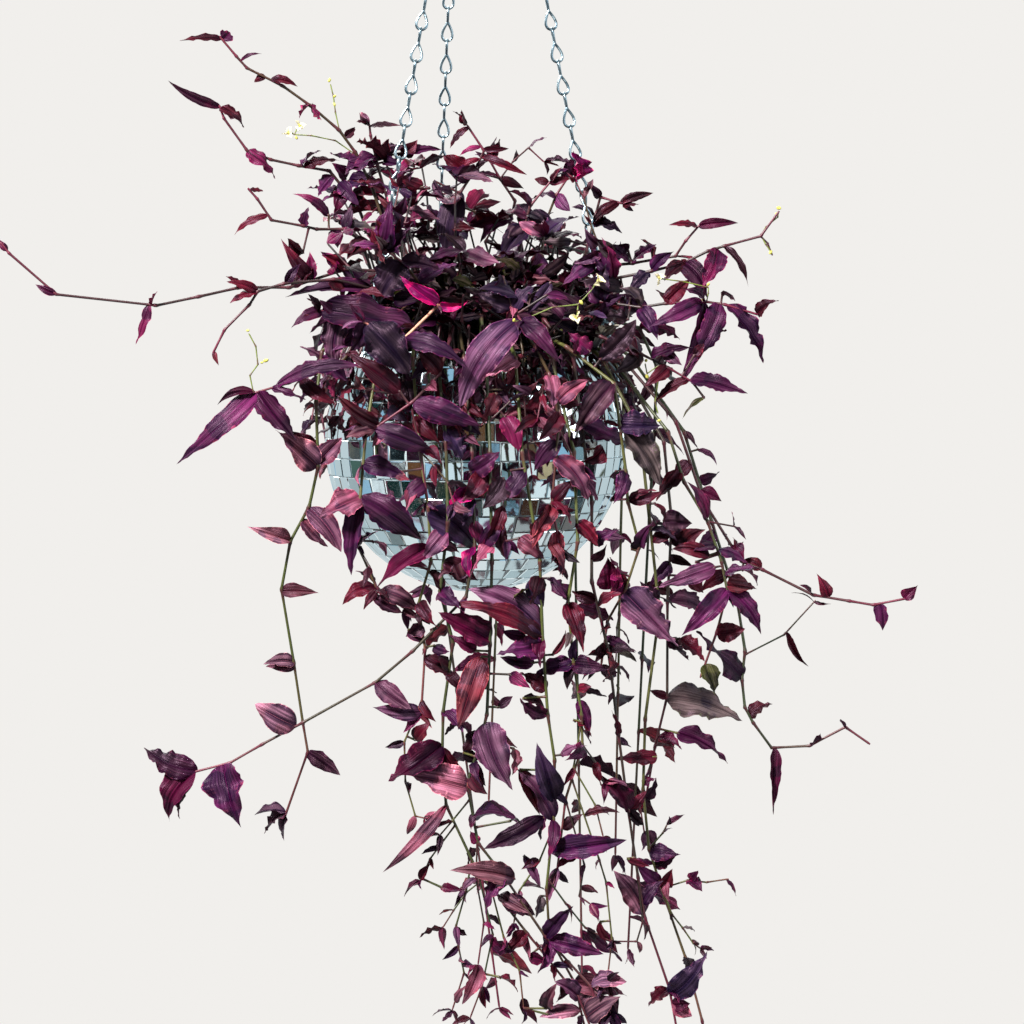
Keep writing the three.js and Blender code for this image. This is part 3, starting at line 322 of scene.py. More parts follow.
def ramp(value, dark, light, low=0.3, high=0.7):
    # Dark below low, light above high, and evenly blended between.
    stops = [(low, hexColour(dark)), (high, hexColour(light))]
    return value.add("ShaderNodeValToRGB", {"Fac": value}, stops=stops)


def relief(height, strength, depth):
    # The normal of a surface raised by a height from 0 to 1 over a depth in metres.
    return height.add("ShaderNodeBump", {"Height": height, "Strength": strength, "Distance": depth})


def paint(text):
    # Six hex digits as the colour of a socket.
    return (*hexColour(text), 1)


def newMaterial(name):
    # A material with an empty tree, and the place on the object that its wires start from.
    material = bpy.data.materials.new(name)
    material.use_nodes = True
    material.node_tree.nodes.clear()
    return material, Wire(material.node_tree, None).add("ShaderNodeTexCoord", output="Object")


def closeMaterial(material, colour, roughness, normal=None, through=None, **fixed):
    # The Principled surface that ends a material, on its own or mixed with light let through from behind.
    inputs = {"Base Color": colour, "Roughness": roughness}
    if normal:
        inputs["Normal"] = normal
    inputs.update({key.replace("_", " "): value for key, value in fixed.items()})
    surface = colour.add("ShaderNodeBsdfPrincipled", inputs)
    if through:
        glow = colour.add("ShaderNodeBsdfTranslucent", {"Color": (*through["colour"], 1)})
        surface = colour.add("ShaderNodeMixShader", {0: through["share"], 1: surface, 2: glow})
    surface.add("ShaderNodeOutputMaterial", {"Surface": surface})
    return material


# The camera stands at eye height in front of the ball, with the picture's long lens.
view = {"place": (0, -1700, 59.5), "focus": 2550, "ballPixel": (475, 441.5), "pictureWidth": 1024,
        "sensorWidth": 36}


def placeCamera():
    # It looks at the ball's centre, and the lens is shifted until the centre falls on its pixel.
    data = bpy.data.cameras.new("camera")
    data.sensor_width = view["sensorWidth"]
    data.lens = view["focus"] / view["pictureWidth"] * view["sensorWidth"]
    across, down = view["ballPixel"]
    data.shift_x = 0.5 - across / view["pictureWidth"]
    data.shift_y = down / view["pictureWidth"] - 0.5
    camera = addObject("camera", data)
    camera.location = toFrame(np.array(view["place"], float))
    camera.rotation_euler = (np.pi / 2 + np.arctan2(-view["place"][2], -view["place"][1]), 0, 0)
    bpy.context.scene.camera = camera


placeCamera()

# The studio: a pale surround, a pale floor well under the stems, and soft light. Shiny things also see a
# lived-in room in front of them.
studio = {
    "wall": "f1efec", "aroundMirrors": "ccd9dd", "underMirrors": "bccace", "surroundFrom": (-0.6, 0.1),
    "floorHeight": -1600, "floorRadius": 1800, "floorSides": 96, "floorColour": "ccd3d6",
    "floorShade": 0.98, "floorGrain": 60.0, "floorFade": (0.25, 0.95), "fill": (0.16, 0.1584, 0.1568, 1),
    "room": [(0.0, "122c2a"), (0.12, "090a0c"), (0.24, "3a2318"), (0.31, "46635a"), (0.39, "9cc4de"),
             (0.51, "eef5f4"), (0.62, "cdb892"), (0.67, "6a4830"), (0.7, "2c3a42"), (0.8, "7f9aa4"),
             (0.89, "e4f0f4")],
    "roomScale": 10.5, "roomAhead": (-0.5, -0.2), "roomDown": (-0.97, -0.85),
}
lamps = {
    "key": {"place": (-1000, -1350, 1350), "size": 330, "power": 128, "colour": (1, 0.97, 0.93)},
    "side": {"place": (1500, -700, 500), "size": 1200, "power": 15, "colour": (0.93, 0.96, 1)},
    "back": {"place": (-500, 1500, 1000), "size": 1400, "power": 28, "colour": (1, 0.98, 0.96)},
}


def buildWorld():
    # Camera rays see the plain wall colour. Shiny rays see the wall behind, and towards the front a room:
    # square cells of a ramp's colours, eased in from a little behind the ball. Other rays get fill.
    world = bpy.data.worlds.new("studio")
    world.use_nodes = True
    world.node_tree.nodes.clear()
    heading = Wire(world.node_tree, None).add("ShaderNodeTexCoord", output="Generated")
    parts = heading.add("ShaderNodeSeparateXYZ", {0: heading})
    forward = (parts.sibling("Y") * -1.0).between(*studio["roomAhead"])
    above = parts.sibling("Z").between(*studio["roomDown"])
    cells = heading.add("ShaderNodeTexVoronoi", {"Vector": heading, "Scale": studio["roomScale"]},
                        output="Color", distance="CHEBYCHEV")
    pick = heading.add("ShaderNodeSeparateColor", {0: cells})
    stops = [(place, hexColour(colour)) for place, colour in studio["room"]]
    things = heading.add("ShaderNodeValToRGB", {"Fac": pick}, stops=stops)
    things.socket.node.color_ramp.interpolation = "CONSTANT"
    share = parts.sibling("Z").between(*studio["surroundFrom"])
    surround = share.choose(paint(studio["underMirrors"]), paint(studio["aroundMirrors"]))
    room = things.blend(1 - forward * above, surround)
    path = heading.add("ShaderNodeLightPath", output="Is Camera Ray")
    light = path.sibling("Is Glossy Ray").choose(studio["fill"], room)
    seen = light.blend(path, paint(studio["wall"]))
    background = heading.add("ShaderNodeBackground", {"Color": seen, "Strength": 1.0})
    heading.add("ShaderNodeOutputWorld", {"Surface": background})
    bpy.context.scene.world = world


def addLamp(name, lamp):
    # A square soft light, turned to face the ball.
    data = bpy.data.lights.new(name, "AREA")
    data.size = lamp["size"] * metre
    data.energy, data.color = lamp["power"], lamp["colour"]
    made = addObject(name, data)
    place = np.array(lamp["place"], float)
    made.location = toFrame(place)
    made.rotation_euler = (np.arccos(unit(place)[2]), 0, np.arctan2(place[0], -place[1]))


def buildFloor():
    # A level disc whose rim fades out: its share of plain colour falls from 1 to 0 between two distances.
    rim = circle(studio["floorSides"]) * studio["floorRadius"] + rise(studio["floorHeight"])
    mesh = bpy.data.meshes.new("floor")
    mesh.from_pydata(toFrame(rim).tolist(), [], [list(range(studio["floorSides"]))])
    material, place = newMaterial("floorPaper")
    flat = place * (1.0, 1.0, 0.0)
    level = flat.add("ShaderNodeVectorMath", {0: flat}, output="Value", operation="LENGTH")
    dull = studio["floorShade"] * hexColour(studio["floorColour"])
    tint = noise(place, studio["floorGrain"]).choose((*dull, 1), paint(studio["floorColour"]))
    fade = 1 - level.between(*(share * studio["floorRadius"] * metre for share in studio["floorFade"]))
    mesh.materials.append(closeMaterial(material, tint, 0.9, Alpha=fade))
    floor = addObject("floor", mesh)


buildWorld()
for lampName, lamp in lamps.items():
    addLamp(lampName, lamp)
buildFloor()
bpy.context.scene.view_settings.view_transform = "Standard"
print("studio set")

# The pot: a moulded bowl, the mirror tiles glued to it, and soil.
pot = {"radius": 100, "rim": 60, "skin": 99.35, "skinInside": 98.6, "wallOutside": 98.2, "wallInside": 94.2,
       "sides": 96, "rows": 40, "lipSteps": 9}
tile = {"rows": 18, "pitch": 12.2, "gap": 0.55, "face": 99.75, "back": 98.5, "chamfer": 0.45,
        "tilt": 0.022, "tint": ((0.66, 0.88), (0.78, 0.93), (0.81, 0.95)),
        "polePad": 6.3, "padSides": 24, "padTint": (0.95, 0.97, 0.98, 0.2), "sharpFrom": 18}
soil = {"top": 46, "edge": 81.6, "standOff": 0.3, "rings": 22, "sides": 72, "waves": 9, "waveHeight": 0.55,
        "waveLengths": (0.12, 0.55), "clods": 620, "bits": 90, "bark": 60, "golden": 2.39996, "jitter": 25}
rimTurn = np.pi - np.arccos(pot["rim"] / pot["radius"])


def bowlArc(radius, lid, count, inside=False):
    # The arc of a ball from its bottom pole up to a height, then straight on if the ball ends below it.
    end = min(rimTurn, np.pi - np.arccos(np.clip(lid / radius, -1, 1)))
    turn = np.linspace(0, end, count)
    arc = np.stack([radius * np.sin(turn), -radius * np.cos(turn)], -1)
    if arc[-1, 1] < lid - 1e-6:
        arc = np.concatenate([arc, [[arc[-1, 0], lid]]])
    return arc[::-1] if inside else arc


def buildTiles():
    # Square tiles in rows. Row i stands at the angle (i + 1/2) pitch from the bottom pole and holds as many
    # tiles as its girth over the tile pitch. Each is a four-sided sleeve from its back to its bevelled
    # face, tilted a little at random.
    growth = Growth()
    step = rimTurn / tile["rows"]
    rows = np.arange(1, tile["rows"])
    counts = np.round(2 * np.pi * pot["radius"] * np.sin((rows + 0.5) * step) / tile["pitch"]).astype(int)
    row = np.repeat(rows, counts)
    number = np.arange(len(row)) - np.repeat(np.cumsum(counts) - counts, counts)
    perRow = np.repeat(counts, counts)
    polar = (row + 0.5) * step
    turn = 2 * np.pi * (number + draw(row * 3.7)) / perRow
    radial = np.stack([np.sin(polar) * np.cos(turn), np.sin(polar) * np.sin(turn), -np.cos(polar)], -1)
    seed = row * 61.0 + number
    lean = np.stack([draw(seed + k) - 0.5 for k in (1.3, 2.9, 4.1)], -1) * 2 * tile["tilt"]
    ahead = unit(radial + lean)
    across = unit(np.cross(rise(1), ahead))
    beside = np.cross(ahead, across)
    width = np.minimum(2 * np.pi * pot["radius"] * np.sin(polar - step / 2) / perRow, tile["pitch"])
    halves = np.stack([width, np.full(len(row), step * pot["radius"])], -1) / 2 - tile["gap"] / 2
    corner = np.array([[1, 1], [-1, 1], [-1, -1], [1, -1]])
    levels = [(tile["back"], 0), (tile["face"] - tile["chamfer"], 0), (tile["face"], tile["chamfer"])]
    rings = np.stack([
        radial[:, None] * height
        + across[:, None] * (corner[None, :, :1] * (halves[:, None, :1] - inset))
        + beside[:, None] * (corner[None, :, 1:] * (halves[:, None, 1:] - inset))
        for height, inset in levels], 1)
    wear = draw(seed + 8.8)
    tones = np.stack([*(drawFrom(limits, seed + 6) for limits in tile["tint"]), wear], -1)
    growth.sleeves(rings, radial * tile["back"], radial * tile["face"], tones=tones[:, None, None])
    pad, face, back = tile["polePad"], -tile["face"], -tile["back"]
    profile = [(0, face), (pad * 0.8, face), (pad, face + 0.5), (pad, back), (0, back)]
    growth.sleeves(*revolved(profile, tile["padSides"]), tones=tile["padTint"])
    outer = bowlArc(pot["skin"], pot["rim"], pot["rows"])
    inner = bowlArc(pot["skinInside"], pot["rim"], pot["rows"], inside=True)
    growth.sleeves(*revolved(np.concatenate([outer, inner]), pot["sides"]), place=1)
    growth.piece("mirrorTiles", [mirrorGlass(), grout()], "mirror_tile", ["mirror_tiles"], tile["sharpFrom"])


def mirrorGlass():
    # Silvered glass, each tile with its own faint tint, a few specks and a slightly uneven polish.
    look = {"specks": 900.0, "speckShare": (0.62, 0.78), "haze": 90.0, "polish": (0.025, 0.065),
            "dust": (0.55, 0.58, 0.6, 1)}
    material, place = newMaterial("mirrorGlass")
    tint = place.add("ShaderNodeVertexColor", layer_name="tone")
    dust = noise(place, look["specks"], 3.0).between(*look["speckShare"]) * tint.sibling("Alpha")
    haze = noise(place, look["haze"])
    roughness = look["polish"][0] + haze * look["polish"][1] + dust * 0.25
    colour = tint.blend(dust * 0.3, look["dust"])
    return closeMaterial(material, colour, roughness, relief(haze, 0.05, 0.0006), Metallic=1.0)


def grout():
    # The pale cement between the tiles: fine grain with darker, dusty patches.
    material, place = newMaterial("tileGrout")
    grain = noise(place, 1500.0, 3.0)
    colour = ramp(grain * 0.5 + noise(place, 35.0) * 0.5, "9ba6aa", "ccd5d7")
    return closeMaterial(material, colour, 0.75 + grain * 0.2, relief(grain, 0.4, 0.0003))


def buildShell():
    # The bowl's outside arc, a rounded rim and the inside arc, turned about the axis.
    growth = Growth()
    outer = bowlArc(pot["wallOutside"], pot["rim"], pot["rows"])
    inner = bowlArc(pot["wallInside"], pot["rim"], pot["rows"], inside=True)
    middle, half = (outer[-1, 0] + inner[0, 0]) / 2, (outer[-1, 0] - inner[0, 0]) / 2
    turn = np.linspace(0, np.pi, pot["lipSteps"])
    lip = np.stack([middle + half * np.cos(turn), pot["rim"] - 1 + np.sin(turn)], -1)
    growth.sleeves(*revolved(np.concatenate([outer[:-1], lip, inner[1:]]), pot["sides"]))
    growth.piece("potShell", [pottingPlastic()], "pot_shell", ["pot_shell"])


def pottingPlastic():
    # Dark moulded plastic: a fine grain, dusty where the soil has rubbed it.
    material, place = newMaterial("pottingPlastic")
    grain = noise(place, 700.0)
    dust = noise(place, 40.0, 3.0).between(0.5, 0.75)
    colour = ramp(grain, "26292b", "34383a").blend(dust * 0.35, paint("5c5348"))
    return closeMaterial(material, colour, 0.5 + dust * 0.3, relief(grain, 0.25, 0.0003))


def buildSoil():
    # The plug fills the bowl: its outside arc, then rings in over the top with a few waves added to their
    # height. Clods, pale bits and bark lie on it.
    growth = Growth()
    outside = bowlArc(pot["wallInside"] - soil["standOff"], soil["top"], 24)
    distances = np.linspace(soil["edge"] - 1.5, 3, soil["rings"])
    level = np.stack([distances, 0 * distances + soil["top"]], -1)
    rings, first, last = revolved(np.concatenate([outside, level, [[0, soil["top"]]]]), soil["sides"])
    top = rings[0, -len(distances):]
    for k in range(soil["waves"]):
        heading = outward(360 * draw(k + 0.4))
        waves = drawFrom(soil["waveLengths"], k + 7.7)
        top[..., 2] += soil["waveHeight"] * np.sin((top @ heading) * waves + 6.28 * draw(k + 3.1))
    growth.sleeves(rings, first, last)

    def scattered(count, sizes, flatness, seedFrom, tones, place):
        # Lumps spread evenly by the golden angle, sunk half into the soil.
        number = np.arange(count) + 0.5
        radius = soil["edge"] * 0.97 * np.sqrt(number / count)
        turn = np.degrees(number * soil["golden"]) + soil["jitter"] * draw(number + seedFrom)
        centres = around(turn, radius[:, None], (soil["top"] + 0.6 + draw(number + 3))[:, None])
        size = drawFrom(sizes, number + seedFrom + 9)
        radii = np.stack([size, *(size * drawFrom(flatness, number + k) for k in (2, 4))], -1)
        growth.sleeves(*lumpRings(centres, radii, number + seedFrom), tones=tones, place=place)

    scattered(soil["clods"], (1.2, 3.6), (0.5, 1), 11, (0.03, 0.02, 0.015, 0), 0)
    scattered(soil["bits"], (0.8, 2.0), (0.7, 1), 47, (0.7, 0.68, 0.62, 0), 1)
    scattered(soil["bark"], (2.2, 4.8), (0.2, 0.5), 83, (0.1, 0.05, 0.03, 0), 2)
    materials = [soilCrumb("pottingSoil", "120c08", "2c1f15", 900.0),
                 soilCrumb("perlite", "a9a499", "dedad0", 1500.0),
                 soilCrumb("bark", "2a170d", "5b3a22", 400.0)]
    growth.piece("soilTop", materials, "potting_soil", ["soil"])


def soilCrumb(name, dark, light, scale):
    # Crumbly matter between a dark and a light colour, rough all over.
    material, place = newMaterial(name)
    grain = noise(place, scale, 6.0, 0.7)
    colour = ramp(grain, dark, light, 0.35, 0.68)
    return closeMaterial(material, colour, 0.82 + grain * 0.15, relief(grain, 0.8, 0.0008))


buildTiles()
buildShell()
buildSoil()
print("pot built")

# The screw eyes, the chains and the hanging ring.
hardware = {
    "azimuths": {"left": -47, "back": 197, "right": 73}, "eyeLatitude": 19.3, "eyeStandoff": 5,
    "eyeRadius": 4, "wire": 1.0, "linkWire": 0.88, "shank": 1.1, "shankReach": (95.7, 101.2), "washer": 3.2,
    "washerDepth": 1, "seat": 0.3, "linkPitch": 22, "twistLinks": 7, "linkHalfWidth": 4, "linkOverlap": 1,
    "hookClearance": 2.45, "linkSteps": 44, "lowerShare": 0.57, "taper": 1.3, "broadest": 1.2,
    "ringSpots": {"left": -8, "back": -40, "right": 45}, "ringRadius": 16, "ringWire": 1.5,
    "ringClearance": 3, "ringHeight": 495, "steps": {"ring": 64, "eye": 32},
    "sides": {"ring": 14, "eye": 10, "shank": 12, "washer": 20, "link": 8},
}


def galvanised():
    # Zinc on steel wire: blue-grey, with faint crystals, brighter where the links rub.
    material, place = newMaterial("galvanisedSteel")
    crystals = place.add("ShaderNodeTexVoronoi", {"Vector": place, "Scale": 260.0}, output="Color")
    shade = place.add("ShaderNodeSeparateColor", {0: crystals})
    grain = noise(place, 1800.0)
    colour = ramp(shade * 0.5 + grain * 0.5, "6a7e89", "a6b7bf", 0.25, 0.75)
    roughness = 0.24 + shade * 0.1 + grain * 0.06
    return closeMaterial(material, colour, roughness, relief(grain, 0.12, 0.0002), Metallic=1.0)


def closedTube(line, radius, sides):
    # The rings round a closed line, without repeating the first: the path overlaps itself by two steps
    # while the headings are worked out, and its two ends meet inside the wire.
    whole = np.concatenate([line[-1:], line, line[:2]])
    rings = tubeRings(whole, np.full(len(whole), radius), sides)[:, 1:-1]
    return rings, line[:1] + 0 * rings[:, 0, 0], line[:1] + 0 * rings[:, 0, 0]


def eyeOf(side):
    # The eye's outward normal on the ball, and the centre of its ring.
    latitude = np.radians(hardware["eyeLatitude"])
    normal = outward(hardware["azimuths"][side]) * np.cos(latitude) + rise(np.sin(latitude))
    return normal, normal * (pot["radius"] + hardware["eyeStandoff"])


def ringSpot(side):
    # The place on the hanging ring where a chain's top link sits.
    spot = np.radians(hardware["ringSpots"][side])
    aside = np.array([np.sin(spot), 0, -np.cos(spot)])
    return rise(hardware["ringHeight"]) + aside * hardware["ringRadius"]


def circleLine(centre, first, second, radius, count):
    # Points round a circle in the plane of two square directions.
    ring = circle(count)
    return centre + radius * (ring[:, :1] * first + ring[:, 1:2] * second)


def linkLine(waist, up, broad, loopLength):
    # A figure eight of one wire. Each loop is a teardrop: along = length (1 - cos a) / 2 and
    # aside = half width sin a sin(a / 2)^1.3, a from 0 to 2 pi. The upper loop lies in one plane and the
    # longer lower one in the other, and the wire passes the waist a radius to each side.
    turn = np.linspace(0, 2 * np.pi, hardware["linkSteps"] // 2, endpoint=False)
    other = np.cross(up, broad)
    along = loopLength * (1 - np.cos(turn))
    aside = (hardware["broadest"] * hardware["linkHalfWidth"] * np.sin(turn)
             * np.sin(turn / 2) ** hardware["taper"])
    past = 1.05 * hardware["wire"] * np.cos(turn / 2)
    share = hardware["lowerShare"]
    upper = waist + (1 - share) * along[:, None] * up + (aside + past)[:, None] * broad
    lower = waist - share * along[:, None] * up + aside[:, None] * other - past[:, None] * broad
    return np.concatenate([upper, lower])


def buildEye(side, steel):
    # A screw eye: its ring, its shank through the wall and a domed washer on the tiles.
    normal, centre = eyeOf(side)
    sides = hardware["sides"]
    eye = Growth()
    ring = circleLine(centre, outward(hardware["azimuths"][side]), rise(1), hardware["eyeRadius"],
                      hardware["steps"]["eye"])
    eye.sleeves(*closedTube(ring, hardware["wire"], sides["eye"]))
    shank = np.array(hardware["shankReach"])
    washer = pot["radius"] + hardware["seat"] + np.array([0, 0.15, 0.85, 1]) * hardware["washerDepth"]
    dome = hardware["washer"] * np.array([0.93, 1, 1, 0.93])
    for reach, radii, count in ((shank, [hardware["shank"]] * 2, sides["shank"]),
                                (washer, dome, sides["washer"])):
        eye.sleeves(tubeRings(normal * reach[:, None], radii, count), normal[None] * reach[0],
                    normal[None] * reach[-1])
    eye.piece(f"screwEye_{side}", [steel], "galvanised_steel", [f"eye_{side}"])


def buildChain(side, steel):
    # As many links as divide the way from the eye to the ring evenly, turning to face the front on the way.
    centre, top, azimuth = eyeOf(side)[1], ringSpot(side), hardware["azimuths"][side]
    up = unit(top - centre)
    bottomWire = centre + up * (hardware["eyeRadius"] - hardware["hookClearance"])
    contact = 2 * hardware["wire"] - hardware["linkOverlap"]
    reach = np.linalg.norm(top + up * hardware["ringClearance"] - bottomWire) - contact
    links = round(reach / hardware["linkPitch"])
    pitch = reach / links
    loopLength = (pitch + contact) / 2
    topAzimuth = 180 if abs(azimuth) > 90 else 0
    chain = Growth()
    for i in range(links):
        facing = outward(mix(azimuth, topAzimuth, min(1, i / hardware["twistLinks"])))
        broad = unit(facing - up * (facing @ up))
        waist = bottomWire + up * (2 * loopLength * hardware["lowerShare"] + pitch * i)
        chain.sleeves(*closedTube(linkLine(waist, up, broad, loopLength), hardware["linkWire"],
                                  hardware["sides"]["link"]))
    chain.piece(f"chain_{side}_links", [steel], "galvanised_steel", [f"chain_{side}"])


def buildRing(steel):
    # The ring over the three chains, in the plane of the picture.
    line = circleLine(rise(hardware["ringHeight"]), np.array([1.0, 0, 0]), rise(1), hardware["ringRadius"],
                      hardware["steps"]["ring"])
    ring = Growth()
    ring.sleeves(*closedTube(line, hardware["ringWire"], hardware["sides"]["ring"]))
    ring.piece("hangingRing", [steel], "galvanised_steel", ["hanging_ring"])


steel = galvanised()
buildRing(steel)
for side in hardware["azimuths"]:
    buildEye(side, steel)
    buildChain(side, steel)
print("chains built")

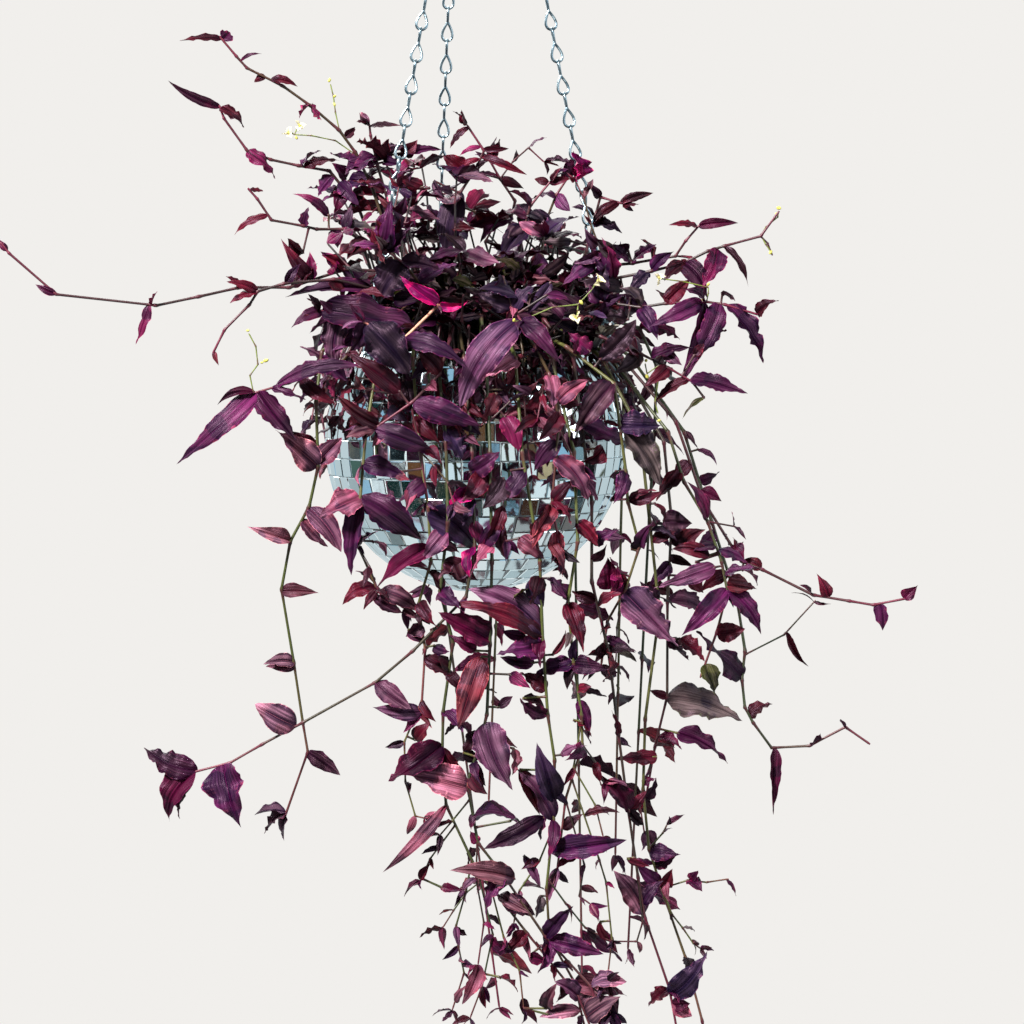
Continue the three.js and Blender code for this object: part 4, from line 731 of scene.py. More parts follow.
# The stems that the picture shows: azimuth and distance of the root, the leaves' tones, the path (across,
# down and depth) and the leaves (base, tip and width). Then the stems behind the bush, by rule.
shownStems = [
    dict(name="stem_upper_left_long", root=(-112, 34), tones="mmwwmwmwdd", path="372 185 8, 356 152 2, "
         "340 130 -4, 312 106 -10, 284 86 -16, 248 68 -22, 238 57 -26, 222 38 -30",
         leaves="312 106 322 120 14, 310 104 300 118 12, 272 78 299 87 9, 268 76 255 82 9, "
         "222 42 231 32 14, 222 40 181 41 9, 241 61 263 54 4, 344 138 356 126 8, 360 160 330 152 14, "
         "368 178 395 168 15"),
    dict(name="stem_upper_left_low", root=(-128, 48), tones="mmwdwddw", path="358 205 30, 330 170 26, "
         "300 165 22, 272 159 18, 248 150 14, 225 118 10, 221 107 8", leaves="248 150 276 178 16, "
         "222 106 169 80 10, 222 107 245 127 12, 302 164 322 150 14, 304 166 341 160 12, "
         "334 176 318 196 16, 350 195 322 200 16, 352 196 385 190 16"),
    dict(name="stem_left_fork", root=(-100, 52), tones="wdwmmgdw", path="362 240 0, 345 228 -4, 317 228 -8, "
         "305 225 -10, 272 219 -14, 258 198 -18, 250 189 -20", leaves="268 214 235 234 9, "
         "305 225 309 206 12, 250 189 264 190 6, 329 214 293 193 10, 334 228 338 247 14, "
         "345 226 378 228 12, 345 228 352 203 12, 360 240 330 262 16"),
    dict(name="stem_far_left", root=(-84, 58), tones="mmmmwwwmdd", path="384 270 -20, 345 268 -26, "
         "290 286 -34, 240 286 -40, 200 295 -46, 157 304 -52, 57 293 -60, 10 252 -64, 3 243 -65",
         leaves="150 302 136 343 11, 57 293 36 283 8, 8 250 0 238 7, 152 303 158 290 6, 292 285 318 262 12, "
         "240 286 226 275 8, 312 279 281 237 14, 312 279 310 250 13, 345 268 320 250 16, "
         "345 270 372 290 18"),
    dict(name="stem_left_second", root=(-74, 44), tones="wwrwdd", path="384 290 -44, 335 278 -54, "
         "285 282 -60, 258 290 -63, 250 303 -64, 225 328 -66, 214 350 -66", leaves="258 289 226 280 10, "
         "258 292 230 302 9, 214 350 219 364 5, 330 279 346 297 16, 285 282 302 262 10, 372 288 285 296 16"),
    dict(name="stem_left_star", root=(-58, 58), tones="dddmws", path="340 362 -56, 316 372 -78, "
         "290 381 -97, 256 391 -100", leaves="253 393 176 463 24, 258 392 297 440 22, 275 386 361 364 16, "
         "250 392 217 404 9, 300 378 335 402 14, 330 366 300 345 14"),
    dict(name="stem_top_left", root=(-146, 28), tones="wwddwd", path="392 215 8, 378 165 4, 371 135 2, "
         "370 126 0", leaves="371 126 402 125 8, 370 126 356 122 7, 376 160 342 168 13, 376 156 404 146 12, "
         "384 190 352 180 16, 386 195 417 184 15"),
    dict(name="stem_top_centre", root=(176, 18), tones="wmwwwdvd", path="452 215 6, 460 192 4, 476 168 0, "
         "484 150 -2, 468 126 -4", leaves="468 127 450 148 7, 481 146 459 156 6, 484 148 509 148 7, "
         "480 158 455 178 9, 484 158 527 174 9, 468 180 440 164 12, 462 192 447 255 26, 456 200 432 190 16"),
    dict(name="stem_top_middle", root=(150, 30), tones="mvdww", path="508 230 30, 515 200 28, 500 178 26, "
         "490 160 24", leaves="500 178 474 172 10, 515 205 545 230 15, 512 215 480 242 16, "
         "500 178 524 188 10, 490 160 500 138 9"),
    dict(name="stem_top_heart", root=(118, 42), tones="mddv", path="545 222 34, 556 194 32, 568 176 30",
         leaves="568 178 573 150 19, 556 194 570 210 13, 556 194 530 200 12, 548 214 520 222 16"),
    dict(name="stem_top_pair", root=(96, 20), tones="wwdvv", path="522 235 4, 530 205 2, 549 182 0",
         leaves="549 182 534 178 8, 549 182 572 178 8, 530 206 506 190 14, 527 215 556 226 16, "
         "524 225 500 262 20"),
    dict(name="stem_top_right", root=(78, 44), tones="wwddv", path="586 250 -8, 595 215 -10, 600 196 -12, "
         "620 202 -16", leaves="620 201 653 192 9, 618 204 590 226 12, 600 196 586 180 9, "
         "595 215 571 206 12, 592 225 622 232 15"),
    dict(name="stem_right_upper", root=(94, 58), tones="wmwwddvv", path="600 265 10, 632 262 6, 655 258 2, "
         "675 255 -2, 685 240 -6, 698 225 -8", leaves="698 226 668 224 8, 698 225 738 222 10, "
         "675 255 700 263 9, 652 258 640 238 14, 632 262 656 243 14, 630 262 606 243 14, "
         "602 265 620 240 16, 610 264 590 290 18"),
    dict(name="stem_right_flower", root=(62, 44), tones="wmddvw",
         twigs=["760 235, 767 242, 771 252"], path="610 278 -46, 650 270 -50, 683 262 -52, 707 250 -54, "
         "723 245 -54, 760 235 -56, 777 212 -58", leaves="723 244 748 286 8, 716 246 702 287 20, "
         "683 264 707 297 20, 652 270 674 250 13, 648 270 628 292 15, 683 262 664 280 14"),
    dict(name="stem_right_main", root=(76, 54), tones="dddwwddg", path="600 300 -50, 640 306 -58, "
         "665 302 -62, 703 300 -66, 724 303 -68, 757 313 -70", leaves="703 301 648 326 18, "
         "719 303 686 364 22, 725 306 763 362 20, 757 313 779 299 14, 665 302 690 278 16, "
         "640 306 658 340 17, 703 304 680 384 17, 640 306 618 286 18"),
    dict(name="stem_right_low", root=(42, 56), tones="dwwgdg", path="600 335 -76, 640 352 -84, 668 366 -88, "
         "690 379 -90", leaves="690 378 748 392 18, 688 382 655 400 14, 666 368 644 386 14, "
         "640 352 616 330 18, 652 357 692 346 15, 640 354 612 372 18"),
    dict(name="stem_front_left", root=(-40, 40), tones="dsmd", path="402 330 -84, 365 316 -98, 322 309 -106",
         leaves="322 310 434 333 34, 342 318 336 366 25, 320 308 291 327 13, 372 318 330 350 20"),
    dict(name="stem_front_high", root=(-50, 24), tones="vddwd", path="424 288 -66, 404 262 -90, "
         "385 248 -102", leaves="402 262 378 302 34, 404 256 441 269 17, 385 248 352 244 15, "
         "386 249 372 226 12, 420 280 462 262 18"),
    dict(name="stem_front_magenta", root=(-22, 54), tones="hhvdd", path="455 312 -90, 438 304 -104, "
         "403 338 -118, 366 322 -126", leaves="438 304 400 274 16, 440 304 468 300 9, 367 322 411 373 38, "
         "403 338 472 371 21, 368 322 350 350 20"),
    dict(name="stem_front_low", root=(-14, 48), tones="ddwwrp", path="450 337 -90, 440 372 -112, "
         "413 400 -118, 373 428 -122", leaves="413 400 482 425 25, 375 428 432 448 23, 400 390 344 350 22, "
         "378 424 336 393 15, 440 372 418 350 18, 374 428 346 436 14"),
    dict(name="stem_front_big", root=(4, 36), tones="sdvv", path="500 335 -76, 512 306 -98, 520 318 -108",
         leaves="519 320 460 406 33, 522 320 562 366 20, 510 306 478 292 18, 514 306 540 284 17"),
    dict(name="stem_front_pink", root=(19, 54), tones="ppwrrdwp", path="535 345 -86, 549 372 -112, "
         "560 410 -118, 556 455 -120, 552 505 -120, 560 545 -118", leaves="548 374 553 407 17, "
         "556 455 589 506 22, 560 412 538 440 16, 552 505 530 540 15, 556 530 563 576 15, "
         "558 440 534 470 18, 552 500 574 478 14, 562 400 590 378 17"),
    dict(name="stem_front_right", root=(33, 58), tones="sgvmbdswmdwd", fill=0.5, path="566 345 -92, "
         "614 382 -104, 620 424 -106, 626 470 -104, 628 500 -100, 640 545 -96, 626 588 -94, 608 620 -92, "
         "602 662 -90", leaves="612 382 574 432 26, 620 426 661 485 28, 620 424 662 424 26, "
         "590 350 567 330 18, 600 358 636 318 20, 625 470 613 503 16, 622 590 679 646 40, "
         "628 498 662 490 12, 620 590 610 556 28, 606 636 637 653 11, 604 645 586 655 10, "
         "640 545 655 520 13"),
    dict(name="stem_front_cluster", root=(-42, 69), tones="pddwppdwd", path="366 430 -108, 360 497 -112, "
         "358 545 -108, 376 586 -104, 402 606 -100", leaves="358 496 318 516 30, 359 500 351 575 20, "
         "364 496 421 538 30, 376 586 342 604 16, 380 590 420 612 20, 372 582 355 570 12, "
         "363 462 410 478 19, 366 434 352 408 14, 358 545 378 530 12"),
    dict(name="stem_left_vertical", root=(-66, 69), tones="plplssslwpdd", path="322 350 -78, 316 400 -84, "
         "318 465 -86, 309 505 -84, 290 540 -82, 281 588 -79, 293 661 -75, 302 722 -73, 307 752 -72, "
         "284 817 -70", leaves="309 507 341 551 22, 290 540 246 525 16, 281 590 319 592 14, "
         "294 661 262 664 14, 307 752 340 776 16, 284 815 283 842 16, 285 814 253 816 14, "
         "318 465 275 428 27, 316 450 290 428 18, 318 462 342 436 20, 318 380 300 402 14, "
         "321 355 348 380 18"),
    dict(name="stem_long_lower_left", root=(-8, 70), tones="slddmwd", path="472 450 -114, 475 545 -118, "
         "466 596 -116, 413 650 -112, 375 682 -108, 303 722 -102, 262 744 -99, 229 763 -97, 194 772 -95",
         leaves="375 681 411 709 21, 295 726 254 704 27, 222 765 240 829 38, 196 771 142 748 25, "
         "193 772 168 823 30, 484 470 462 500 20, 482 545 504 515 16"),
    dict(name="stem_trail_left", root=(-30, 69), tones="vmspwdw", fill=0.4, path="420 450 -112, "
         "428 505 -116, 431 560 -114, 418 604 -110, 425 648 -106, 421 712 -104",
         leaves="430 508 486 545 34, 430 545 377 587 19, 421 712 372 707 18, 420 622 405 636 16, "
         "418 604 430 624 13, 424 480 398 500 18, 424 700 436 722 10"),
    dict(name="stem_trail_lower_left", root=(-19, 67), tones="mwwwpslswwsl", fill=0.5, path="446 440 -114, "
         "448 520 -118, 440 590 -114, 453 642 -110, 443 712 -107, 442 760 -106, 446 806 -106, 475 868 -106, "
         "495 893 -106, 527 935 -105, 579 1000 -104, 600 1052 -104", leaves="436 745 388 782 30, "
         "440 748 464 774 20, 450 668 428 655 16, 448 672 460 690 14, 444 806 382 874 13, "
         "503 900 536 918 18, 515 880 446 877 21, 446 530 420 560 20, 448 560 478 580 18, "
         "527 935 505 957 16, 579 1000 555 985 18, 590 1020 622 1000 24"),
    dict(name="stem_trail_centre", root=(3, 68), tones="srlwmmdddpl", fill=0.5, path="490 450 -116, "
         "492 560 -119, 490 643 -114, 487 714 -111, 481 739 -110, 467 785 -109, 478 844 -108, 503 876 -108, "
         "545 938 -107, 592 990 -106, 612 1048 -106", leaves="491 724 513 791 34, 482 656 458 730 26, "
         "468 789 409 776 34, 484 735 462 755 18, 478 844 470 832 10, 488 640 436 614 28, "
         "545 940 574 908 15, 550 942 605 957 19, 470 470 500 450 20, 486 545 470 575 18, "
         "592 990 628 985 18"),
    dict(name="stem_trail_middle", root=(14, 70), tones="swdmvsmddwdrw", fill=0.4, path="522 450 -116, "
         "540 560 -118, 543 640 -113, 548 714 -110, 555 760 -108, 554 820 -106, 547 890 -104, 550 940 -98, "
         "575 985 -92, 590 1050 -88", leaves="540 633 468 588 34, 540 636 452 606 22, 542 646 496 654 23, "
         "548 714 520 698 15, 557 802 537 742 24, 553 820 514 767 22, 548 820 548 862 12, "
         "545 818 484 850 19, 556 853 628 841 24, 541 575 530 605 18, 524 470 500 500 20, "
         "536 540 548 505 14, 543 690 520 672 16"),
    dict(name="stem_trail_star", root=(26, 69), tones="ddvwddwpw", fill=0.3, path="574 450 -112, "
         "578 540 -116, 568 602 -112, 574 662 -109, 582 715 -107, 583 745 -106, 566 800 -106, 558 870 -98",
         leaves="573 664 533 676 19, 576 664 611 669 19, 574 660 576 638 9, 570 602 584 652 19, "
         "566 600 546 577 17, 580 700 590 738 13, 580 690 592 686 12, 576 470 598 500 17, "
         "578 520 598 545 15"),
    dict(name="stem_trail_long", root=(38, 68), tones="mlvwwdwdw", fill=0.3, path="592 500 -100, "
         "592 580 -100, 609 651 -97, 619 733 -95, 629 810 -93, 639 878 -92, 646 919 -91, 671 992 -90, "
         "682 1052 -90", leaves="632 812 594 773 19, 645 916 614 872 24, 673 998 709 954 25, "
         "630 812 648 790 13, 620 735 612 710 8, 645 905 665 882 16, 597 600 572 590 14, "
         "592 540 620 528 15, 671 992 650 1010 14"),
    dict(name="stem_trail_right", root=(51, 69), tones="wmdmmmmdwwd", fill=0.3,
         twigs=["664 890, 689 882, 708 884, 728 881"], path="640 430 -84, 650 520 -86, 660 610 -82, "
         "646 718 -78, 644 790 -76, 650 850 -74, 666 900 -72, 687 960 -70, 704 1024 -69, 712 1068 -69",
         leaves="658 757 616 759 15, 644 800 657 778 13, 650 852 682 856 18, 652 866 626 861 8, "
         "690 882 704 894 16, 692 882 700 872 12, 728 881 738 898 7, 658 885 636 862 14, "
         "660 890 674 870 13, 652 540 676 530 14, 658 600 640 580 15"),
    dict(name="stem_right_grey", root=(62, 69), tones="gdwwdwm", fill=0.3, path="664 440 -66, 672 520 -68, "
         "668 600 -66, 668 696 -62, 656 746 -60, 648 792 -56", leaves="670 697 744 721 36, "
         "678 733 729 764 20, 668 697 650 690 9, 670 540 700 528 16, 671 560 650 585 14, "
         "656 746 676 748 12, 668 640 690 660 18"),
    dict(name="stem_right_star", root=(56, 60), tones="dddsrmmmddoww", fill=0.3,
         twigs=["709 520, 734 525"], path="668 430 -80, 684 480 -86, 708 520 -90, 722 560 -92, 728 590 -92, "
         "718 630 -90, 702 675 -88", leaves="727 588 682 635 21, 729 588 762 634 21, 724 574 764 567 16, "
         "716 566 654 587 18, 728 584 758 588 20, 708 518 687 480 17, 734 525 732 510 5, 734 525 747 539 6, "
         "716 545 693 550 16, 720 548 748 562 16, 708 664 716 696 20, 718 632 746 628 19, "
         "680 470 656 500 18"),
    dict(name="stem_far_right", root=(68, 61), tones="wdmwwmwm", path="676 420 -60, 704 500 -62, "
         "742 560 -64, 762 568 -67, 814 594 -74, 850 600 -78, 874 604 -80, 905 598 -84",
         leaves="830 596 817 572 13, 882 602 884 630 15, 905 598 919 584 13, 762 568 745 558 12, "
         "738 554 733 536 13, 700 490 722 500 14, 690 460 672 480 15, 812 594 800 584 6"),
    dict(name="stem_right_fork", root=(85, 66), tones="wmmmdwwwwdd",
         twigs=["744 654, 785 634, 815 601"], path="684 430 -14, 712 520 -24, 738 600 -32, 746 650 -36, "
         "743 679 -38, 746 707 -40, 754 722 -41, 773 748 -42, 811 746 -46, 847 727 -50, 870 743 -52",
         leaves="751 718 774 704 17, 776 748 775 816 13, 815 746 822 733 15, 847 728 842 719 5, "
         "745 677 697 630 28, 789 633 810 666 7, 815 601 792 592 4, 815 601 832 603 4, 722 550 744 540 14, "
         "700 480 720 470 13, 716 530 698 548 13"),
]
hiddenStems = [
    dict(name="stem_back_right_long", root=(104, 64), reach=128, crest=84, drop=400, drift=16),
    dict(name="stem_back_right", root=(124, 66), reach=122, crest=78, drop=330, drift=-14),
    dict(name="stem_back_middle_right", root=(146, 64), reach=116, crest=80, drop=440, drift=-22),
    dict(name="stem_back_middle", root=(168, 66), reach=118, crest=76, drop=300, drift=12),
    dict(name="stem_back_middle_left", root=(-150, 62), reach=114, crest=82, drop=460, drift=-78),
    dict(name="stem_back_left", root=(-138, 66), reach=118, crest=78, drop=100, drift=-14),
    dict(name="stem_back_left_short", root=(-116, 64), reach=122, crest=82, drop=60, drift=8),
    dict(name="stem_crown_back_right", root=(136, 50), reach=150, crest=134, drop=70, drift=20),
    dict(name="stem_crown_back", root=(178, 46), reach=140, crest=122, drop=90, drift=-18),
    dict(name="stem_crown_back_left", root=(-148, 50), reach=156, crest=116, drop=60, drift=16),
]

# How the plant grows. Places in the picture are pixels across, pixels down and a depth in millimetres.
picture = {"pixelsPerMm": 1.5, "ballPixel": (475, 440), "eyeDistance": 1700, "eyeRise": 0.035}
habit = {
    "rootDepth": 12, "seat": 0.3, "collar": 5, "nodeSpacing": 50, "uprightFrom": 110,
    "crestRadius": 66, "crestOutset": 4, "crestHeights": (74, 86), "crestShare": 0.6,
    "overRim": (104, 56), "overRimFrom": 30, "besideBall": (113, 14), "besideBallFrom": -11,
    "overRimShare": 0.6, "besideBallShare": 0.9,
    "arch": {"rise": 0.3, "crown": 0.8, "settle": 8, "fall": 34, "gather": 0.88},
    "drift": {"crown": 0.1, "fall": 0.2},
    "tipReach": 1.6, "stemSeed": 97, "leafSeed": 7, "nodeSeed": 11, "ruleSeed": 500,
    "leafSpacing": 17, "hiddenFill": 0.9, "ruleLengths": (27, 32),
    "facing": {True: (0.35, 0.75, 0.5), False: (0.8, 0, 0.5)},
    "tipDepths": (-12, 6), "widthGain": 1.08, "stalkFrom": 4,
}
# How leaves leave a node by rule: their shares aside, ahead, outward and up, their sizes and breadths, a
# nudge for nodes on the axis, and the number of the first draw.
leafRules = {
    "node": {"ways": ((0.8, 1.2), (0.2, 0.7), (0.3, 0.8), (0.1, -0.4)), "sizes": (0.75, 1.35),
             "breadths": (0.36, 0.48), "nudge": 0, "first": 0},
    "sprig": {"ways": ((0.2, 1), (0.5, 1.1), (-0.1, 0.6)), "breadths": (0.3, 0.44), "nudge": 0.01,
              "first": 0},
    "bare": {"ways": ((0.3, 1.1), (0.3, 1.2), (0, 0.7)), "breadths": (0.32, 0.46), "nudge": 0.01,
             "first": 1},
}
# A leaf of the part takes the first of these sizes, rolls and swings at which it has room.
leafFit = {"scales": (1, 0.8, 0.62), "rolls": (0, 0.5, -0.5), "turns": (0, -7, 7, -14, 14, -22, 22, -31, 31),
           "smallest": 26, "near": 0.06, "votes": 3, "arch": 0.1, "fold": 0.26, "wave": 0.07, "ripple": 0.05,
           "stations": ((58, (0.14, 0.4, 0.66, 0.88)), (31, (0.18, 0.5, 0.82)), (0, (0.25, 0.7)))}


def seen(across, down, depth):
    # The point at a depth that the front view shows at a pixel: a pixel is wider the deeper it lies.
    across, down, depth = np.broadcast_arrays(*(np.asarray(each, float) for each in (across, down, depth)))
    scale = (1 + depth / picture["eyeDistance"]) / picture["pixelsPerMm"]
    return np.stack([(across - picture["ballPixel"][0]) * scale, depth,
                     (picture["ballPixel"][1] - down) * scale - depth * picture["eyeRise"]], -1)


def squareTo(side, heading):
    # A vector with its part along a unit heading taken out, at unit length.
    return unit(side - heading * (side * heading).sum(-1, keepdims=True))


def centreline(points):
    # A Catmull-Rom line through points, cut where it is longer than the node spacing.
    line = []
    last = len(points) - 1
    for i in range(last):
        p0, p1, p2, p3 = (points[k] for k in (max(i - 1, 0), i, i + 1, min(i + 2, last)))
        cuts = max(1, int(np.linalg.norm(p2 - p1) / habit["nodeSpacing"] + 0.5))
        t = (np.arange(cuts) / cuts)[:, None]
        line.append((2 * p1 + (p2 - p0) * t + (2 * p0 - 5 * p1 + 4 * p2 - p3) * t ** 2
                     + (3 * p1 - p0 - 3 * p2 + p3) * t ** 3) / 2)
    return np.concatenate([*line, points[-1:]])


def stemFoot(azimuth, radius):
    # From its hole straight up out of the soil.
    return [around(azimuth, radius, soil["top"] - habit["rootDepth"] + habit["seat"]),
            around(azimuth, radius, soil["top"] + habit["collar"])]


def rootPath(root, first, index):
    # Up out of the soil to a stem's first seen place: a hanging stem goes over the rim and down the ball.
    azimuth, radius = root
    start = stemFoot(*root)
    if np.hypot(first[0], first[1]) <= habit["crestRadius"] or first[2] > habit["uprightFrom"]:
        return start
    crest = max(drawFrom(habit["crestHeights"], index), mix(pot["rim"], first[2], habit["crestShare"]))
    start.append(around(azimuth, max(habit["crestRadius"], radius + habit["crestOutset"]), crest))
    if first[2] > habit["overRimFrom"]:
        return start
    turned = np.degrees(np.arctan2(first[0], -first[1])) - azimuth
    start.append(around(azimuth + turned * habit["overRimShare"], *habit["overRim"]))
    if first[2] < habit["besideBallFrom"]:
        start.append(around(azimuth + turned * habit["besideBallShare"], *habit["besideBall"]))
    return start


def archPath(stem):
    # A stem at the back: up to a crest outside the rim, then hanging, drawn in and drifting aside.
    azimuth, radius = stem["root"]
    arch, drift, reach = habit["arch"], habit["drift"], stem["reach"]

    def at(out, height, share):
        # A point of the arch, moved aside by a share of the drift.
        return around(azimuth, out, height) + outward(azimuth + 90) * stem["drift"] * share

    edge = stem["crest"] - arch["fall"]
    path = [*stemFoot(azimuth, radius),
            at(mix(radius, reach, arch["rise"]), stem["crest"], 0),
            at(mix(radius, reach, arch["crown"]), stem["crest"] - arch["settle"], drift["crown"]),
            at(reach, edge, drift["fall"])]
    steps = max(1, int(stem["drop"] / (2 * habit["nodeSpacing"]) + 0.5))
    for t in np.arange(1, steps + 1) / steps:
        path.append(at(reach * mix(1, arch["gather"], t), edge - stem["drop"] * t, mix(drift["fall"], 1, t)))
    return np.array(path)


def nearestSeen(line, point):
    # The place on a line nearest to a point, as the front view shows them, and how far off it is.
    start, run = line[:-1], np.diff(line, axis=0)
    flat = run[:, [0, 2]]
    square = np.maximum((flat ** 2).sum(1), 1e-9)
    share = np.clip(((point - start)[:, [0, 2]] * flat).sum(1) / square, 0, 1)
    nearest = start + run * share[:, None]
    gaps = np.linalg.norm((nearest - point)[:, [0, 2]], axis=1)
    best = gaps.argmin()
    return gaps[best], nearest[best]


def nearestOf(lines, point):
    # The same for the nearest of several lines.
    return min((nearestSeen(line, point) for line in lines), key=lambda found: found[0])


def levelOut(point, nudge=0):
    # The level direction from the pot's axis to a point, nudged aside for points on the axis.
    return unit(point * np.array([1, 1, 0]) + np.array([nudge, 0, 0]))


def faceOf(base, tip, shown):
    # Which way a leaf's upper side looks: out from the pot and up, and in the front view to the front.
    out, front, up = habit["facing"][shown]
    return squareTo(levelOut(base) * out + np.array([0, -front, up]), unit(tip - base))


def newLeaf(base, tip, width, face, seed, tone, **more):
    # What a blade is grown from.
    return {"base": base, "tip": tip, "width": width, "face": face, "seed": seed, "tone": tone, **more}


def headingAt(line, i):
    # The direction of a line at its point i, from the point before to the one after.
    return unit(line[min(i + 1, len(line) - 1)] - line[i - 1])


def ruleLeaf(base, heading, hand, length, seed, shown, rule):
    # A leaf by rule: shares drawn for aside, ahead, outward and up give its aim, and more draws its length
    # (one number times the rule's sizes, or a draw between two) and breadth.
    out = levelOut(base, rule["nudge"])
    ways = (unit(np.cross(heading, out)) * hand, heading, out, rise(1))
    first = rule["first"]
    last = first + len(rule["ways"])
    aim = unit(sum(way * drawFrom(limits, seed + (first + k))
                   for k, (way, limits) in enumerate(zip(ways, rule["ways"]))))
    if "sizes" in rule:
        size = length * drawFrom(rule["sizes"], seed + last)
    else:
        size = drawFrom(length, seed + last)
    tip = base + aim * size
    return newLeaf(base, tip, size * drawFrom(rule["breadths"], seed + (last + 1)), faceOf(base, tip, shown),
                   seed, drawnTone(seed))


def shownLeaf(leaf, lines, firstDepth, seed, tone):
    # A leaf that the front view shows, on the stem or twig that passes nearest to its base.
    depth = nearestOf(lines, seen(leaf[0], leaf[1], firstDepth))[1][1]
    wanted = seen(leaf[0], leaf[1], depth)
    gap, nearest = nearestOf(lines, wanted)
    off = gap > habit["stalkFrom"]
    base = wanted if off else nearest
    tip = seen(leaf[2], leaf[3], depth + drawFrom(habit["tipDepths"], seed))
    scale = (1 + depth / picture["eyeDistance"]) / picture["pixelsPerMm"] * habit["widthGain"]
    return newLeaf(base, tip, leaf[4] * scale, faceOf(base, tip, True), seed, tone,
                   stalk=nearest if off else None)


def twigLine(nodes, line, firstDepth):
    # A twig from its place on the stem, at that place's depth.
    nodes = rowsOf(nodes)
    depth = nearestSeen(line, seen(*nodes[0], firstDepth))[1][1]
    foot, *rest = (seen(across, down, depth) for across, down in nodes)
    return np.array([nearestSeen(line, foot)[1], *rest])


def planStem(stem, index):
    # A stem's line, its twigs and its leaves.
    shown = "path" in stem
    if shown:
        path = seen(*np.array(rowsOf(stem["path"])).T)
        line = centreline(np.array([*rootPath(stem["root"], path[0], index), *path]))
    else:
        path = archPath(stem)
        line = centreline(path)
    twigs = [twigLine(nodes, line, path[-1][1]) for nodes in stem.get("twigs", [])]
    lines = [line[2:], *twigs]
    seed = index * habit["stemSeed"]
    leaves = [shownLeaf(leaf, lines, path[0][1], seed + k * habit["leafSeed"], tone)
              for k, (leaf, tone) in enumerate(zip(rowsOf(stem.get("leaves", "")), stem.get("tones", "")))]
    fill = stem.get("fill", 0 if shown else habit["hiddenFill"])
    for i in range(3 if shown else 2, len(line)):
        seed = index * habit["stemSeed"] + habit["ruleSeed"] + i * habit["nodeSeed"]
        bare = all(np.linalg.norm(leaf["base"] - line[i]) > habit["leafSpacing"] for leaf in leaves)
        if bare and draw(seed + 6) < fill:
            leaves.append(ruleLeaf(line[i], headingAt(line, i), 1 if i % 2 else -1,
                                   habit["ruleLengths"][0 if shown else 1], seed, False, leafRules["node"]))
    for each in (line, *twigs):
        each[-1] += unit(each[-1] - each[-2]) * habit["tipReach"]
    return {"name": stem["name"], "line": line, "twigs": twigs, "fineTwigs": [], "leaves": leaves}


# The leaves' colours: upper side, under side, and how strong the pale stripes are.
leafTones = {
    "d": ("3c0e34", "5c203c", 0.2), "v": ("241630", "4c2240", 0.2), "m": ("520a32", "782044", 0.15),
    "h": ("a80c58", "b02460", 0.03), "p": ("723448", "964e5e", 0.6), "w": ("460619", "5e1e26", 0.16),
    "s": ("48203c", "6e4054", 0.8), "r": ("581a26", "803a40", 0.4), "g": ("524648", "5a564a", 0.5),
    "o": ("42441c", "5a5a28", 0.3), "b": ("12070f", "2e131c", 0.1), "l": ("7c4656", "b0707c", 0.9),
    "c": ("f2ead0", "f2ead0", 0),
}
toneDraw = "ddddddddvvmmmmmsspplwwwwwwrgbbb"


def pickFrom(choices, seed):
    # One of several by a draw.
    return choices[int(draw(seed) * len(choices))]


def drawnTone(seed):
    # A tone by a draw, each as often as its letter stands in the row.
    return pickFrom(toneDraw, seed + 21.7)


def toneColours(letters, seeds, paintedShades, side):
    # Each leaf's colour for a side, lighter or darker by its own draw and darkened by its painted shade
    # factor, with its stripes beside it.
    colours = np.array([hexColour(leafTones[letter][side]) for letter in letters])
    stripes = np.array([leafTones[letter][2] for letter in letters])
    shift = np.stack([drawFrom((0.82, 1.22), seeds + k) for k in (31, 33, 35)], -1)
    shade = drawFrom((0.36, 1.35), seeds + 37)[:, None] * paintedShades[:, None]
    return np.concatenate([colours * shade * (0.6 + 0.4 * shift), stripes[:, None]], -1)


def leafCorners(tip, base, face, width, stations, seed):
    # Where the part's faceted leaves have their edge corners, for leaves that differ in tip, face and width:
    # rib point plus or minus a half width, each side lifted by the fold and rocked by the wave.
    along = unit(tip - base)
    length = np.linalg.norm(tip - base, axis=-1)
    side = unit(np.cross(face, along))
    up = np.cross(along, side)
    turn = 1 if draw(seed + 3) < 0.5 else -1
    found = [tip]
    for i, t in enumerate(stations):
        beat = (-1 if i % 2 else 1) * turn
        arch = leafFit["arch"] * length * 4 * t * (1 - t)
        rib = base + along * (t * length)[:, None] + up * arch[:, None]
        half = (width / 2 * t ** 0.45 * (1 - t) ** 0.9 / 0.4235)[:, None]
        lift, rock = leafFit["fold"] * half, leafFit["wave"] * width[:, None] * beat
        found.append(rib + side * half * (1 + leafFit["ripple"] * beat) + up * (lift + rock))
        found.append(rib - side * half * (1 - leafFit["ripple"] * beat) + up * (lift - rock))
    return np.stack(found, 1)


